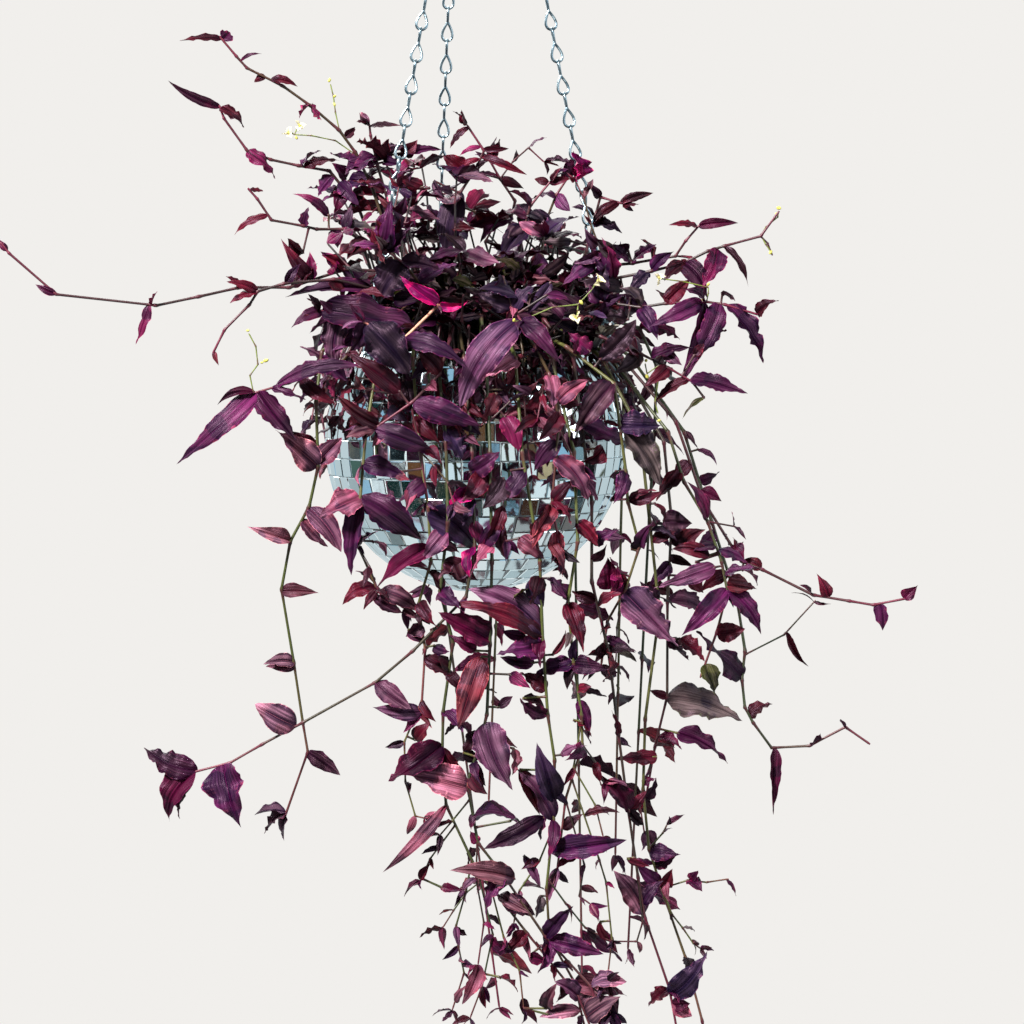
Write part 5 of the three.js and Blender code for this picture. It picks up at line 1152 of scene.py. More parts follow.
def fitLeaves(plan, corners):
    # Each larger leaf as the part has it: of its 81 sizes, rolls and swings the one whose corners are found
    # among the node's own. A leaf with no room in the part is left out.
    kept = []
    scale, roll, turn = (each.ravel() for each in np.meshgrid(
        leafFit["scales"], leafFit["rolls"], leafFit["turns"], indexing="ij"))
    for leaf in plan["leaves"]:
        base, face = leaf["base"], leaf["face"]
        if np.linalg.norm(leaf["tip"] - base) <= leafFit["smallest"]:
            kept.append(leaf)
            continue
        tips = base + (leaf["tip"] - base) * scale[:, None] + face * turn[:, None]
        along = unit(tips - base)
        faces = (face * np.cos(roll)[:, None] + np.cross(along, face) * np.sin(roll)[:, None]
                 + along * ((along @ face) * (1 - np.cos(roll)))[:, None])
        widths = leaf["width"] * scale
        lengths = np.linalg.norm(tips - base, axis=1)
        best, most, upTo = None, leafFit["votes"] - 1, np.inf
        for longer, stations in leafFit["stations"]:
            places = np.flatnonzero((lengths > longer) & (lengths <= upTo))
            upTo = longer
            if not len(places):
                continue
            wanted = leafCorners(tips[places], base, faces[places], widths[places], stations, leaf["seed"])
            gaps = np.linalg.norm(wanted[:, :, None] - corners[None, None], axis=-1).min(-1)
            votes = (gaps < leafFit["near"]).sum(1)
            if votes.max() > most:
                most, best = votes.max(), places[votes.argmax()]
        if best is not None:
            kept.append({**leaf, "tip": tips[best], "face": faces[best], "width": widths[best]})
    return kept


# The surface of a blade: limits of each leaf's own draws, and rows and points by length.
bladeShape = {
    "fold": (0.15, 0.85), "curl": (-0.5, 0.1), "swerve": (-0.09, 0.09), "ess": (-0.18, 0.18),
    "arch": (0.05, 0.14), "twist": (-1.3, 1.3), "wave": (0.04, 0.17), "waves": (1.8, 4.2),
    "crimp": (0.015, 0.07), "crimps": (4.5, 7.5), "stray": 1.4, "notch": (-0.08, 0.18), "hand": (0.5, 2.2),
    "thick": 0.32, "rib": 0.5, "groove": 0.22, "baseShare": (0.42, 0.62), "tipShare": (0.9, 1.45),
    "forms": (
        {"from": 29, "rows": 29, "roll": 0.15, "top": (1, 0.93, 0.76, 0.52, 0.28, 0.09),
         "under": (0.8, 0.45, 0.12)},
        {"from": 18, "rows": 19, "roll": 0.6, "top": (1, 0.86, 0.5, 0.16), "under": (0.7, 0.25)},
        {"from": 0, "rows": 9, "roll": 1.1, "top": (1, 0.8, 0.35), "under": (0.5,)},
    ),
}


def growBlades(growth, leaves, place=0):
    # Blades of each form by length, the longest first.
    upTo = np.inf
    for form in bladeShape["forms"]:
        picked = [leaf for leaf in leaves
                  if form["from"] < np.linalg.norm(leaf["tip"] - leaf["base"]) <= upTo]
        upTo = form["from"]
        if picked:
            growForm(growth, picked, form, place)


def growForm(growth, picked, form, place):
    # Each blade is a sleeve over its upper side from one edge to the other and back underneath. Its rib runs
    # from base to tip along an arch and a slight S. The half width is width / 2 times t^a (1 - t)^b over
    # that product's greatest value, with a and b drawn for each leaf. Its section is folded along the rib,
    # curled, twisted more with t, and waved and crimped towards the edges.
    shape = bladeShape
    base, tip, face = (np.array([leaf[key] for leaf in picked]) for key in ("base", "tip", "face"))
    width, seed = (np.array([leaf[key] for leaf in picked], float) for key in ("width", "seed"))
    along = unit(tip - base)
    roll = drawFrom((-form["roll"], form["roll"]), seed + 67)[:, None]
    face = face * np.cos(roll) + np.cross(along, face) * np.sin(roll)
    side = unit(np.cross(face, along))
    up = np.cross(along, side)
    top, under = np.array(form["top"]), np.array(form["under"])
    s = np.concatenate([top, [0], -top[::-1], -under, [0], under[::-1]])
    isTop = np.arange(len(s)) < 2 * len(top) + 1
    t = (1 - np.cos(np.pi * np.arange(1, form["rows"]) / form["rows"])) / 2

    def own(limits, offset):
        # A draw for each leaf, shaped to stand against rows and points.
        return drawFrom(limits, seed + offset)[:, None, None]

    whole = (0, 6.28)
    t, s = t[None, :, None], s[None, None, :]
    length = np.linalg.norm(tip - base, axis=1)[:, None, None]
    width = width[:, None, None]
    edge, hand = np.abs(s), np.sign(s)
    first, second = own(shape["baseShare"], 68), own(shape["tipShare"], 69)
    greatest = (first / (first + second)) ** first * (second / (first + second)) ** second
    halfWidth = (width / 2) * t ** first * (1 - t) ** second / greatest
    waves = own(shape["waves"], 51) * 2 * np.pi * t + own(whole, 52) + hand * own(shape["hand"], 53)
    crimps = (own(shape["crimps"], 54) * 2 * np.pi * t + own(whole, 55) + hand * 1.3
              + shape["stray"] * np.sin(waves * 0.7 + own(whole, 50)))
    height = halfWidth * (own(shape["fold"], 56) * edge + own(shape["curl"], 57) * edge ** 2)
    height = height + width * np.sqrt(np.sin(np.pi * t)) * (
        own(shape["wave"], 58) * np.sin(waves) * edge ** 1.6
        + own(shape["crimp"], 59) * np.sin(crimps) * edge ** 4)
    layer = np.where(isTop, 1, -1) * shape["thick"] / 2 * (1 - edge ** 3)
    ribbed = np.where(isTop, -shape["groove"], -shape["rib"]) * np.exp(-(edge / 0.1) ** 2) * (1 - t) ** 0.5
    height = height + (layer + ribbed) * np.minimum(halfWidth / 2, 1)
    notches = np.maximum(own(shape["notch"], 66), 0.02) * (np.abs(np.sin(crimps * 0.5 + hand)) - 0.6)
    aside = s * halfWidth * (1 + notches * edge ** 3)
    twist = own(shape["twist"], 60) * (t - 0.25)
    lift = length * (own(shape["arch"], 61) * 4 * t * (1 - t) + own(shape["ess"], 62) * (t ** 3 - t))
    rightward = (length * own(shape["swerve"], 63) * 4 * t * (1 - t)
                 + aside * np.cos(twist) - height * np.sin(twist))
    upward = lift + aside * np.sin(twist) + height * np.cos(twist)
    rings = (base[:, None, None] + along[:, None, None] * (t * length)[..., None]
             + side[:, None, None] * rightward[..., None] + up[:, None, None] * upward[..., None])
    blade = np.stack(np.broadcast_arrays(s, t), -1)
    grain = np.stack(np.broadcast_arrays(s * halfWidth / 10 + own((0, 90), 64),
                                         t * length / 10 + own((0, 90), 65)), -1)
    letters = [leaf["tone"] for leaf in picked]
    paintedShades = np.array([leaf.get("shade", 1.0) for leaf in picked])
    upper, lower = (toneColours(letters, seed, paintedShades, k)[:, None, None] for k in (0, 1))
    tones = np.where((np.arange(s.size) < 2 * len(top))[None, None, :, None], upper, lower)
    growth.sleeves(rings, base, tip, blade, grain, tones, place)


stemShape = {
    "radius": 1.15, "tipRadius": 0.72, "twig": (0.6, 0.5), "stalk": (0.7, 0.7, 0.6), "sides": 8, "whole": 24,
    "offsets": (0, 1.3, 2.6, 6, 9), "before": 2, "swelling": (1.45, 1.5, 1.15, 1.08, 0.98, 1, 1.1),
    "redness": (1, 1, 0.9, 0.35, 0.1, 0, 0.3), "youngFrom": 0.72,
    "hanging": ("3c4220", "2c361a", "4a5024", "2c2018", "54542a", "222a14"), "hangingTo": -100,
    "upright": ("321a1c", "3e1e22", "241214", "3a2a16"), "node": "4e1626", "young": "701e3c",
    "tints": {"stem_front_magenta": "e0a488", "stem_left_vertical": "444c1e", "stem_far_left": "2a1416",
              "stem_long_lower_left": "2e2616", "stem_upper_left_long": "3e2e1c"}, "crownStemWithPaintedShade": "160c0f",
}


def growStem(growth, line, radii, seed, colour=None, young=True):
    # A jointed stem: straight between its nodes, swollen just past each, redder there and at the tip.
    runs = np.diff(line, axis=0)
    lengths = np.linalg.norm(runs, axis=1)
    scale = np.minimum(1, lengths / stemShape["whole"])[:, None]
    offsets = np.concatenate([np.array(stemShape["offsets"])[None] * scale, lengths[:, None] / 2,
                              lengths[:, None] - stemShape["before"] * scale], 1)
    shares = (np.maximum.accumulate(offsets, axis=1) / lengths[:, None])[..., None]
    points = np.concatenate([(line[:-1, None] + runs[:, None] * shares).reshape(-1, 3), line[-1:]])
    base = mix(radii[:-1, None], radii[1:, None], shares[..., 0])
    widths = np.concatenate([(base * np.array(stemShape["swelling"])).ravel(), radii[-1:] * 0.7])
    kinds = stemShape["hanging" if line[-1][2] < stemShape["hangingTo"] else "upright"]
    plain = hexColour(colour or pickFrom(kinds, seed + 2.2))
    redness = np.concatenate([np.tile(stemShape["redness"], len(runs)), [0.5]])[:, None]
    tone = mix(plain, hexColour(stemShape["node"]), redness * 0.8)
    if young:
        ahead = smooth(stemShape["youngFrom"], 1, np.linspace(0, 1, len(points)))[:, None]
        tone = mix(tone, hexColour(stemShape["young"]), ahead * 0.7)
    tone = np.concatenate([tone * drawFrom((0.85, 1.2), seed + 4), 0 * redness], 1)
    tone = np.concatenate([tone[:1], tone])[None, :, None]
    rings = tubeRings(points, widths, stemShape["sides"])
    growth.sleeves(rings, points[:1], points[-1:], tones=tone, place=1)


def leafSkin(name, gloss, share):
    # A tradescantia blade: fine ribs along it, a thin dark midrib, dark bluish patches of painted shadow and
    # light patches of painted light, a thin pale margin, and in some a faded band each side of the rib.
    # Light comes through it wine red.
    look = {"ribs": (8.0, 0.25, 1.0), "fineRibs": (20.0, 0.5, 1.0), "patches": 42.0, "cells": 2600.0,
            "paintedShadow": (0.2, 0.26, 0.46), "paintedLight": (1.85, 1.65, 1.65), "faded": (2.0, 2.6, 3.0),
            "fadedLeast": (0.2, 0.12, 0.115), "midrib": (0.3, 0.25, 0.3), "vein": (2.6, 2.6, 2.6),
            "margin": (2.6, 2.9, 2.6), "through": (0.42, 0.03, 0.12), "sheen": (1, 0.62, 0.9, 1)}
    material, place = newMaterial(name)
    blade = place.add("ShaderNodeSeparateXYZ", {0: place.add("ShaderNodeUVMap", uv_map="blade")})
    grain = place.add("ShaderNodeUVMap", uv_map="grain")
    tone = place.add("ShaderNodeVertexColor", layer_name="tone")
    fading = tone.sibling("Alpha")
    edge = abs(blade)
    along = blade.sibling("Y")
    ribs = noise(grain * look["ribs"], 1.0).between(0.36, 0.64)
    hairs = noise(grain * look["fineRibs"], 1.0, 1.0).between(0.4, 0.6)
    patches = noise(place, look["patches"], 3.0)
    cells = noise(place, look["cells"], 1.0)
    colour = tone * (0.5 + ribs * 0.62 + hairs * 0.3)
    # Painted light: where the patch noise is low, the colour is lightened as if lit.
    paintedLight = patches.between(0.46, 0.36) * (0.3 + ribs * 0.7)
    # Painted shadow: where the patch noise is high, the colour is darkened towards blue as if shaded.
    paintedShadowed = colour.blend(patches.between(0.5, 0.54) * 0.92, colour * look["paintedShadow"])
    colour = paintedShadowed.blend(paintedLight, colour * look["paintedLight"])
    band = edge.between(0.08, 0.3) * (1 - edge.between(0.5, 0.95)) * along.between(0.02, 0.25)
    worn = band * 0.55 + along.between(0.72, 1) * 0.6
    colour = colour.blend(worn * fading * (0.25 + ribs * 0.75), tone * look["faded"] + look["fadedLeast"])
    colour = colour.blend((1 - edge.between(0.03, 0.1)) * 0.8, colour * look["midrib"])
    colour = colour.blend((1 - edge.between(0.005, 0.03)) * 0.55, tone * look["vein"])
    colour = colour.blend(edge.between(0.92, 0.99) * 0.8, tone * look["margin"])
    roughness = 0.3 + cells * 0.084 + hairs * 0.056
    bump = relief(ribs * 0.7 + hairs * 0.3 + cells * 0.15, 0.7, 0.0005)
    return closeMaterial(material, colour, roughness, bump, {"colour": look["through"], "share": share},
                         Specular_IOR_Level=gloss, Specular_Tint=look["sheen"])


def stemSkin():
    # Smooth, faintly streaked stems with pale flecks.
    material, place = newMaterial("tradescantiaStem")
    mottle = noise(place, 220.0, 3.0)
    flecks = noise(place, 1700.0).between(0.66, 0.74)
    tone = place.add("ShaderNodeVertexColor", layer_name="tone")
    colour = (tone * (0.6 + mottle * 0.8)).blend(flecks * 0.3, paint("8a5a4e"))
    return closeMaterial(material, colour, 0.36 + mottle * 0.2, relief(mottle, 0.25, 0.0004))


def petalSkin():
    # Thin cream petals, faintly veined.
    material, place = newMaterial("creamPetal")
    veins = noise(place.add("ShaderNodeUVMap", uv_map="grain") * (30.0, 1.0, 1.0), 1.0)
    colour = ramp(veins, "e6dcae", "fbf7e6")
    return closeMaterial(material, colour, 0.5 + veins * 0.1, relief(veins, 0.3, 0.0002),
                         {"colour": (0.9, 0.85, 0.6), "share": 0.35})


def budSkin():
    # Yellow-green buds with darker seams.
    material, place = newMaterial("budGreen")
    mottle = noise(place, 900.0)
    colour = ramp(mottle, "a8a83a", "e6dc74")
    return closeMaterial(material, colour, 0.42 + mottle * 0.15, relief(mottle, 0.3, 0.0002))


def twigOf(line, index, seed, length, out):
    # A side twig: leaves the node aside and out, then droops, with an alternate small leaf at each node.
    heading = headingAt(line, index)
    aside = unit(np.cross(heading, out)) * (1 if draw(seed) < 0.5 else -1)
    first = unit(aside * drawFrom((0.5, 1), seed + 1) + out * drawFrom((0.1, 0.7), seed + 2)
                 + heading * drawFrom((0.3, 1), seed + 3))
    count = max(2, int(length / 13))
    steps = [line[index]]
    for k in range(count):
        share = (k + 1) / count
        droop = np.array([drawFrom((-0.2, 0.2), seed + k), drawFrom((-0.2, 0.2), seed + k + 0.5), -share])
        steps.append(steps[-1] + unit(first * (1.2 - share * 0.7) + droop * 0.7) * length / count)
    return np.array(steps)


def sprigLeaves(twig, seed, lengths, shown):
    # Alternate leaves along a twig, with two or three round its tip.
    spots = [(i, 0) for i in range(1, len(twig) - 1)] + [(len(twig) - 1, k) for k in range(3)]
    return [ruleLeaf(twig[i], unit(twig[i] - twig[i - 1]), 1 if (i + k) % 2 else -1, lengths,
                     seed + i * 13.7 + k * 5.1, shown, leafRules["sprig"]) for i, k in spots]


# Small growth on the stems, too fine for the part: leaves at bare nodes, side twigs, and leafy tips.
fineGrowth = {"bareLeaf": 0.4, "crowdedLeaf": 0.2, "secondLeaf": 0.22, "twig": 0.1, "leafLengths": (8, 20),
              "wispLengths": (6, 15), "tipLengths": (9, 17), "twigLengths": (16, 48), "spacing": 9,
              "betweenFrom": 28, "pictured": (100, -390), "picturedShare": 0.35}
# Thin side shoots that the picture shows, by the stem that they leave.
wisps = {
    "stem_front_low": ["402 372, 412 408, 420 449, 428 500"],
    "stem_front_pink": ["552 392, 560 430, 578 466"],
    "stem_front_high": ["404 260, 399 234, 395 208, 399 186"],
    "stem_right_flower": ["612 277, 601 250, 590 222, 584 198, 575 180"],
    "stem_trail_lower_left": ["470 862, 466 893, 456 928, 458 948, 464 976, 452 1014",
                              "478 870, 493 937, 482 990, 470 1022", "455 826, 438 849, 430 860, 420 882",
                              "490 888, 504 940, 520 974, 524 1012"],
    "stem_trail_centre": ["492 420, 510 400, 524 392, 527 439, 532 474", "491 500, 500 520, 506 540",
                          "478 840, 476 880, 484 925, 478 968", "470 800, 452 822, 440 836"],
    "stem_trail_middle": ["554 830, 540 862, 520 892, 514 926", "548 880, 566 905, 586 930, 612 944"],
    "stem_trail_star": ["582 720, 574 768, 596 806, 604 838", "574 780, 600 861, 607 884, 613 942, 608 986",
                        "566 800, 585 866, 580 898, 591 906"],
    "stem_trail_long": ["636 862, 644 924, 638 944, 614 944"],
    "stem_trail_right": ["658 880, 673 916, 684 930, 695 946, 702 951", "650 850, 664 834, 668 826"],
    "stem_trail_left": ["421 700, 404 742, 405 782, 415 817, 424 819"],
    "stem_right_grey": ["660 738, 650 770, 640 800, 646 838"],
}


def addFineGrowth(plan, index, shown):
    # Walks a stem's nodes and the middles of its long internodes, and draws what grows there: less where the
    # picture shows the stem, and nothing more on the stems that reach out of the bush.
    line, leaves, lengths = plan["line"], plan["leaves"], fineGrowth["leafLengths"]
    for number, nodes in enumerate(wisps.get(plan["name"], [])):
        wisp = twigLine(nodes, line, line[-1][1])
        plan["fineTwigs"].append(wisp)
        leaves.extend(sprigLeaves(wisp, index * 31.1 + number * 57.3, fineGrowth["wispLengths"], True))
    spots = []
    for i in range(3, len(line) - 1):
        spots.append((line[i], i))
        if np.linalg.norm(line[i + 1] - line[i]) > fineGrowth["betweenFrom"]:
            spots.append(((line[i] + line[i + 1]) / 2, i))
    reach, lowest = fineGrowth["pictured"]
    for number, (spot, i) in enumerate(spots):
        if shown and abs(spot[0]) > reach:
            continue
        share = fineGrowth["picturedShare"] if shown and spot[2] > lowest else 1
        seed = index * 131.0 + number * 17.3 + 900
        heading = unit(line[i + 1] - line[i])
        crowded = min([np.linalg.norm(leaf["base"] - spot) for leaf in leaves], default=99)
        chances = (fineGrowth["bareLeaf" if crowded > fineGrowth["spacing"] else "crowdedLeaf"],
                   fineGrowth["secondLeaf"])
        for k, chance in enumerate(chances):
            if draw(seed + k * 3.3) <= chance * share:
                leaves.append(ruleLeaf(spot, heading, 1 if (number + k) % 2 else -1, lengths, seed + k * 3.3,
                                       shown, leafRules["bare"]))
        if draw(seed + 8) < fineGrowth["twig"] * share:
            twig = twigOf(line, i, seed + 10, drawFrom(fineGrowth["twigLengths"], seed + 9),
                          levelOut(spot, 0.01))
            plan["fineTwigs"].append(twig)
            leaves.extend(sprigLeaves(twig, seed + 11, lengths, shown))
    for twig in (line, *plan["twigs"]):
        if not shown or abs(twig[-1][0]) <= reach:
            leaves.extend(sprigLeaves(twig[-2:], index * 7.7 + len(twig), fineGrowth["tipLengths"], shown))


# Small leaves that the picture shows: base, tip and width, with their tones after them. Each grows on the
# stem or twig that passes nearest to its base, and one over the ball on a stem before it.
smallLeaves = (
    "386 247 391 207 18, 388 246 411 226 13, 386 248 376 218 14, 541 374 550 407 19, "
    "561 394 581 404 15, 497 392 481 424 17, 505 415 519 451 20, 417 413 440 442 18, 427 447 442 463 12, "
    "444 428 463 459 20, 396 471 410 479 9, 412 492 406 510 12, 470 486 447 505 16, 504 477 482 508 21, "
    "503 505 487 540 14, 505 523 509 560 13, 424 541 460 552 18, 455 561 467 583 14, 452 571 438 578 11, "
    "519 537 546 560 18, 549 541 565 573 12, 528 588 513 600 12, 531 578 544 606 18, 551 577 567 597 12, "
    "603 446 581 461 18, 535 441 547 466 10, 511 469 523 484 9, 565 475 540 486 13, 356 376 366 388 12, "
    "391 392 410 408 14, 426 378 437 389 13, 445 380 440 402 10, 500 388 522 392 9, 531 392 512 384 8, "
    "478 545 470 577 13, 400 560 428 566 14, 560 545 552 520 12, 470 520 483 548 13, 616 470 618 492 14, "
    "602 531 626 536 12, 594 560 607 543 10, 424 602 438 628 14, 352 385 340 402 12, 372 540 386 556 10, "
    "540 520 532 548 12, 566 430 574 452 13, 385 430 372 446 12, 556 500 571 524 12, 408 629 423 644 14, "
    "424 611 419 625 10, 434 645 450 651 12, 428 656 458 678 18, 510 674 531 688 13, 498 707 513 696 9, "
    "523 698 545 707 12, 553 654 566 629 6, 601 651 637 651 12, 574 720 592 737 12, 561 755 588 746 11, "
    "463 753 481 758 12, 475 777 488 795 14, 510 822 521 825 5, 566 830 585 814 12, 584 817 622 814 9, "
    "628 860 652 868 7, 655 868 680 854 14, 641 833 655 849 16, 644 787 657 779 12, 660 739 683 750 14, "
    "668 881 671 905 9, 692 948 699 945 8, 614 986 621 975 7, 416 884 431 864 9, 435 852 443 844 5, "
    "441 889 467 892 9, 524 857 541 890 9, 564 870 549 905 10, 502 895 531 916 14, 548 937 573 909 12, "
    "491 940 515 954 16, 529 959 547 964 12, 537 948 545 956 10, 564 964 574 975 10, 462 967 480 980 14, "
    "459 1007 467 988 9, 480 988 486 1012 8, 499 980 518 996 14, 518 1002 526 1020 10, 547 1012 558 986 14, "
    "577 1008 607 987 22, 548 1018 585 1015 10, 601 1018 620 1002 16, 671 1010 692 1007 14, "
    "676 994 681 1007 8, 456 930 467 938 8, 461 958 465 965 5, 588 932 596 943 6, 601 924 612 945 9, "
    "688 428 698 447 8, 698 448 717 464 7, 704 396 682 418 6, 664 351 682 364 12, 694 354 704 342 10, "
    "712 326 727 329 12, 722 293 735 300 12, 655 502 664 522 9, 627 499 658 489 8, 611 499 620 471 12, "
    "371 157 345 174 20, 349 180 387 189 16, 342 179 361 207 14, 340 190 334 215 15, 361 191 372 210 12, "
    "423 186 397 172 12, 398 158 442 149 11, 402 152 418 139 15, 392 156 375 160 7, 464 171 443 154 20, "
    "430 187 416 200 8, 434 180 445 198 12, 382 213 401 257 17, 391 226 410 241 12, 378 272 356 283 13, "
    "371 241 347 258 20, 375 241 386 263 12, 349 271 322 254 10, 391 194 389 206 7, 528 213 546 226 14, "
    "476 211 494 214 9, 522 222 508 237 16, 571 240 538 240 12, 543 255 524 278 20, 518 262 504 268 14, "
    "518 296 478 288 16, 503 275 488 292 18, 551 281 527 312 12, 546 294 569 299 8, 596 258 560 286 16, "
    "597 252 573 262 10, 612 252 596 238 14, 628 250 617 243 12, 622 285 580 280 18, 628 318 592 322 20, "
    "630 297 638 312 12, 578 352 578 332 22, 624 338 640 358 18, 668 356 680 362 9, 655 375 672 368 14, "
    "671 296 655 288 10, 688 262 664 267 8, 506 219 484 224 9, 663 520 693 522 24, 651 529 678 540 13, "
    "684 543 706 528 17, 719 530 730 545 9, 731 545 745 560 15, 674 554 694 566 10, 696 561 714 570 10, "
    "690 575 704 592 14, 729 588 734 607 6, 661 595 677 608 10, 680 638 706 662 18, 632 548 650 530 11, "
    "620 572 628 585 10, 426 570 443 593 15, 612 588 608 556 24, 596 606 622 592 14, 387 246 392 198 21, "
    "384 246 398 218 12, 611 279 592 247 19, 607 280 588 268 14, 603 298 606 262 16, 602 300 589 284 15, "
    "606 303 592 322 17, 612 278 601 236 13, 284 812 263 835 17, 480 972 462 1008 15, 272 388 306 398 10, "
    "190 775 178 820 20, 520 770 540 816 15, 582 1014 540 1021 14, 728 572 700 592 14, 372 596 402 612 14, "
    "520 886 546 892 16, 304 520 328 546 14, 676 1006 694 1020 16, 710 554 672 548 14, 476 650 448 634 14, "
    "415 740 430 722 15, 534 662 500 656 13, 303 252 288 237 14, 652 380 636 406 11, 561 984 557 1006 15, "
    "346 178 332 162 13, 742 568 758 585 12, 526 636 502 630 11, 541 898 536 921 14, 514 749 512 776 12, "
    "704 296 684 288 12, 546 816 541 842 11, 577 857 556 872 11, 480 764 486 787 10, 291 668 265 666 10, "
    "573 180 571 151 24, 598 244 584 226 13, 592 226 601 203 12, 600 252 616 240 12, 398 230 388 206 13, "
    "396 212 406 192 12, 602 256 590 262 10")
smallTones = ("ddwprrmwwvrphbwrprpprovdwrbvrwpwbshpsmbswwwprspwpwdwmmwwbwsbrbwwwmsmmppbwmmsslbmmwrmpwwwpl"
              "pvmmbpbwssoswwswrbdddmwwdwgwpsddwwrwpvbsgdvvvvddsgdbbvmwsdwwssvrdmwwwvbwbwwmwdvdwvddmppdmw"
              "lwpsppwmwdwwwmmdgpdmwwphswdvdv")
smallLeafRule = {"depth": -112, "before": -80, "ball": 104}


def addSmallLeaves(plans):
    # Gives each small leaf to the stem whose lines pass nearest to its base in the front view.
    for number, (leaf, tone) in enumerate(zip(rowsOf(smallLeaves), smallTones, strict=True)):
        place = seen(leaf[0], leaf[1], smallLeafRule["depth"])
        overBall = np.hypot(place[0], place[2]) < smallLeafRule["ball"]
        nearest = None
        for plan in plans:
            lines = [plan["line"][3:], *plan["twigs"], *plan["fineTwigs"]]
            if overBall:
                lines = [line[line[:, 1] < smallLeafRule["before"]] for line in lines]
            lines = [line for line in lines if len(line) > 1]
            if not lines:
                continue
            depth = nearestOf(lines, place)[1][1]
            gap = nearestOf(lines, seen(leaf[0], leaf[1], depth))[0]
            if nearest is None or gap < nearest[0]:
                nearest = gap, plan, lines, depth
        gap, plan, lines, depth = nearest
        plan["leaves"].append(shownLeaf(leaf, lines, depth, number * 12.9 + 0.7, tone))


def chainGap(points):
    # How near any of the points comes to the straight line that a chain hangs along.
    gaps = []
    for side in hardware["azimuths"]:
        start, end = eyeOf(side)[1], ringSpot(side)
        share = np.clip((points - start) @ (end - start) / ((end - start) @ (end - start)), 0, 1)
        gaps.append(np.linalg.norm(start + share[:, None] * (end - start) - points, axis=1).min())
    return min(gaps)


def finishPlant(growth, name, materials, replaces=()):
    # Soft shading over all but a plant piece's sharpest folds.
    growth.piece(name, materials, "purple_foliage", replaces, 70)


# Short shoots that hang over the rim all round.
fringe = {"shoots": 60, "rootRadius": 70, "rootDepth": 2, "crest": (84, 76), "over": (93, 58), "from": 50,
          "lowest": (44, 2), "spacing": 9, "standOff": (5, 12), "radii": (0.8, 0.5), "bare": 0.35,
          "lengths": (8, 20), "breadths": (0.36, 0.56), "tones": "wwrpbbdmsv", "shade": (0.5, 1.1)}


def fringeShoot(azimuth, seed):
    # Up out of the soil, over the rim and down, a few millimetres off the ball.
    bottom = drawFrom(fringe["lowest"], seed + 1)
    heights = np.linspace(fringe["from"], bottom, 2 + int((fringe["from"] - bottom) / fringe["spacing"]))
    off = drawFrom(fringe["standOff"], seed + 2)
    turns = azimuth + np.cumsum(drawFrom((-5, 5), seed + 3 + np.arange(len(heights))))
    hanging = around(turns, (np.sqrt(pot["radius"] ** 2 - heights ** 2) + off)[:, None], heights[:, None])
    root = around(azimuth, fringe["rootRadius"], soil["top"] - fringe["rootDepth"])
    rising = [root, around(azimuth, *fringe["crest"]), around(azimuth, *fringe["over"])]
    return np.concatenate([rising, hanging])


def buildFringe(materials):
    # Shoots at even turns, with leaves to the left and right.
    growth, leaves = Growth(), []
    for i in range(fringe["shoots"]):
        seed = i * 37.9 + 9000
        azimuth = 360 * (i + 0.6 * draw(seed)) / fringe["shoots"]
        shoot = fringeShoot(azimuth, seed)
        if chainGap(shoot) < crown["chainRoom"]:
            continue
        growStem(growth, shoot, np.linspace(*fringe["radii"], len(shoot)), seed)
        for k, extra in ((k, extra) for k in range(2, len(shoot)) for extra in range(2)):
            own = seed + k * 5.3 + extra * 2.1
            if draw(own) < fringe["bare"]:
                continue
            hand = 1 if (k + extra) % 2 else -1
            aim = unit(outward(azimuth + 90) * hand * drawFrom((0.3, 1), own + 1)
                       + outward(azimuth) * drawFrom((0, 0.5), own + 2)
                       - rise(1) * drawFrom((0.1, 1), own + 3))
            size = drawFrom(fringe["lengths"], own + 4)
            width = size * drawFrom(fringe["breadths"], own + 5)
            face = squareTo(outward(azimuth) + rise(0.4), aim)
            tone, shade = pickFrom(fringe["tones"], own + 6), drawFrom(fringe["shade"], own + 7)
            leaves.append(newLeaf(shoot[k], shoot[k] + aim * size, width, face, own, tone, shade=shade))
    growBlades(growth, leaves)
    finishPlant(growth, "rim_fringe", materials)


# Flower stalks: their nodes in the picture, then the places of buds and of open flowers.
flowerSprigs = [
    dict(stem="stem_upper_left_long", stalk="351 158, 336 140, 312 135, 295 134",
         buds="297 137", flowers="290 133, 300 126"),
    dict(stem="stem_upper_left_long", stalk="340 130, 336 112, 334 96, 331 84",
         buds="335 104, 335 96, 330 80"),
    dict(stem="stem_left_star", stalk="245 388, 250 374, 258 363, 256 345, 249 332",
         buds="262 361, 266 359, 248 329"),
    dict(stem="stem_right_flower", stalk="760 234, 765 226, 777 216, 778 210", buds="778 207, 776 213"),
    dict(stem="stem_right_flower", stalk="760 234, 765 243, 770 250", buds="770 251"),
    dict(stem="stem_right_main", stalk="706 302, 708 292, 708 286",
         buds="708 283, 703 298", flowers="658 277"),
    dict(stem="stem_right_main", stalk="697 304, 682 307, 673 312", buds="672 312, 681 308"),
    dict(stem="stem_right_low", stalk="650 384, 647 372, 645 362", buds="646 359, 647 375"),
    dict(stem="stem_right_low", stalk="650 384, 655 400, 658 412", buds="659 419, 647 419"),
    dict(stem="stem_front_big", stalk="528 322, 552 306, 578 303, 592 288",
         buds="581 301", flowers="598 280, 577 316"),
    dict(stem="stem_front_big", stalk="519 322, 516 320, 514 319", buds="514 319, 501 340"),
]
flowerShape = {"stalk": 0.4, "tint": "6c7a30", "bud": (1.0, 1.0, 1.5), "anther": (0.5, 0.5, 0.6),
               "petals": 3, "petal": 5.2, "breadth": 0.8}


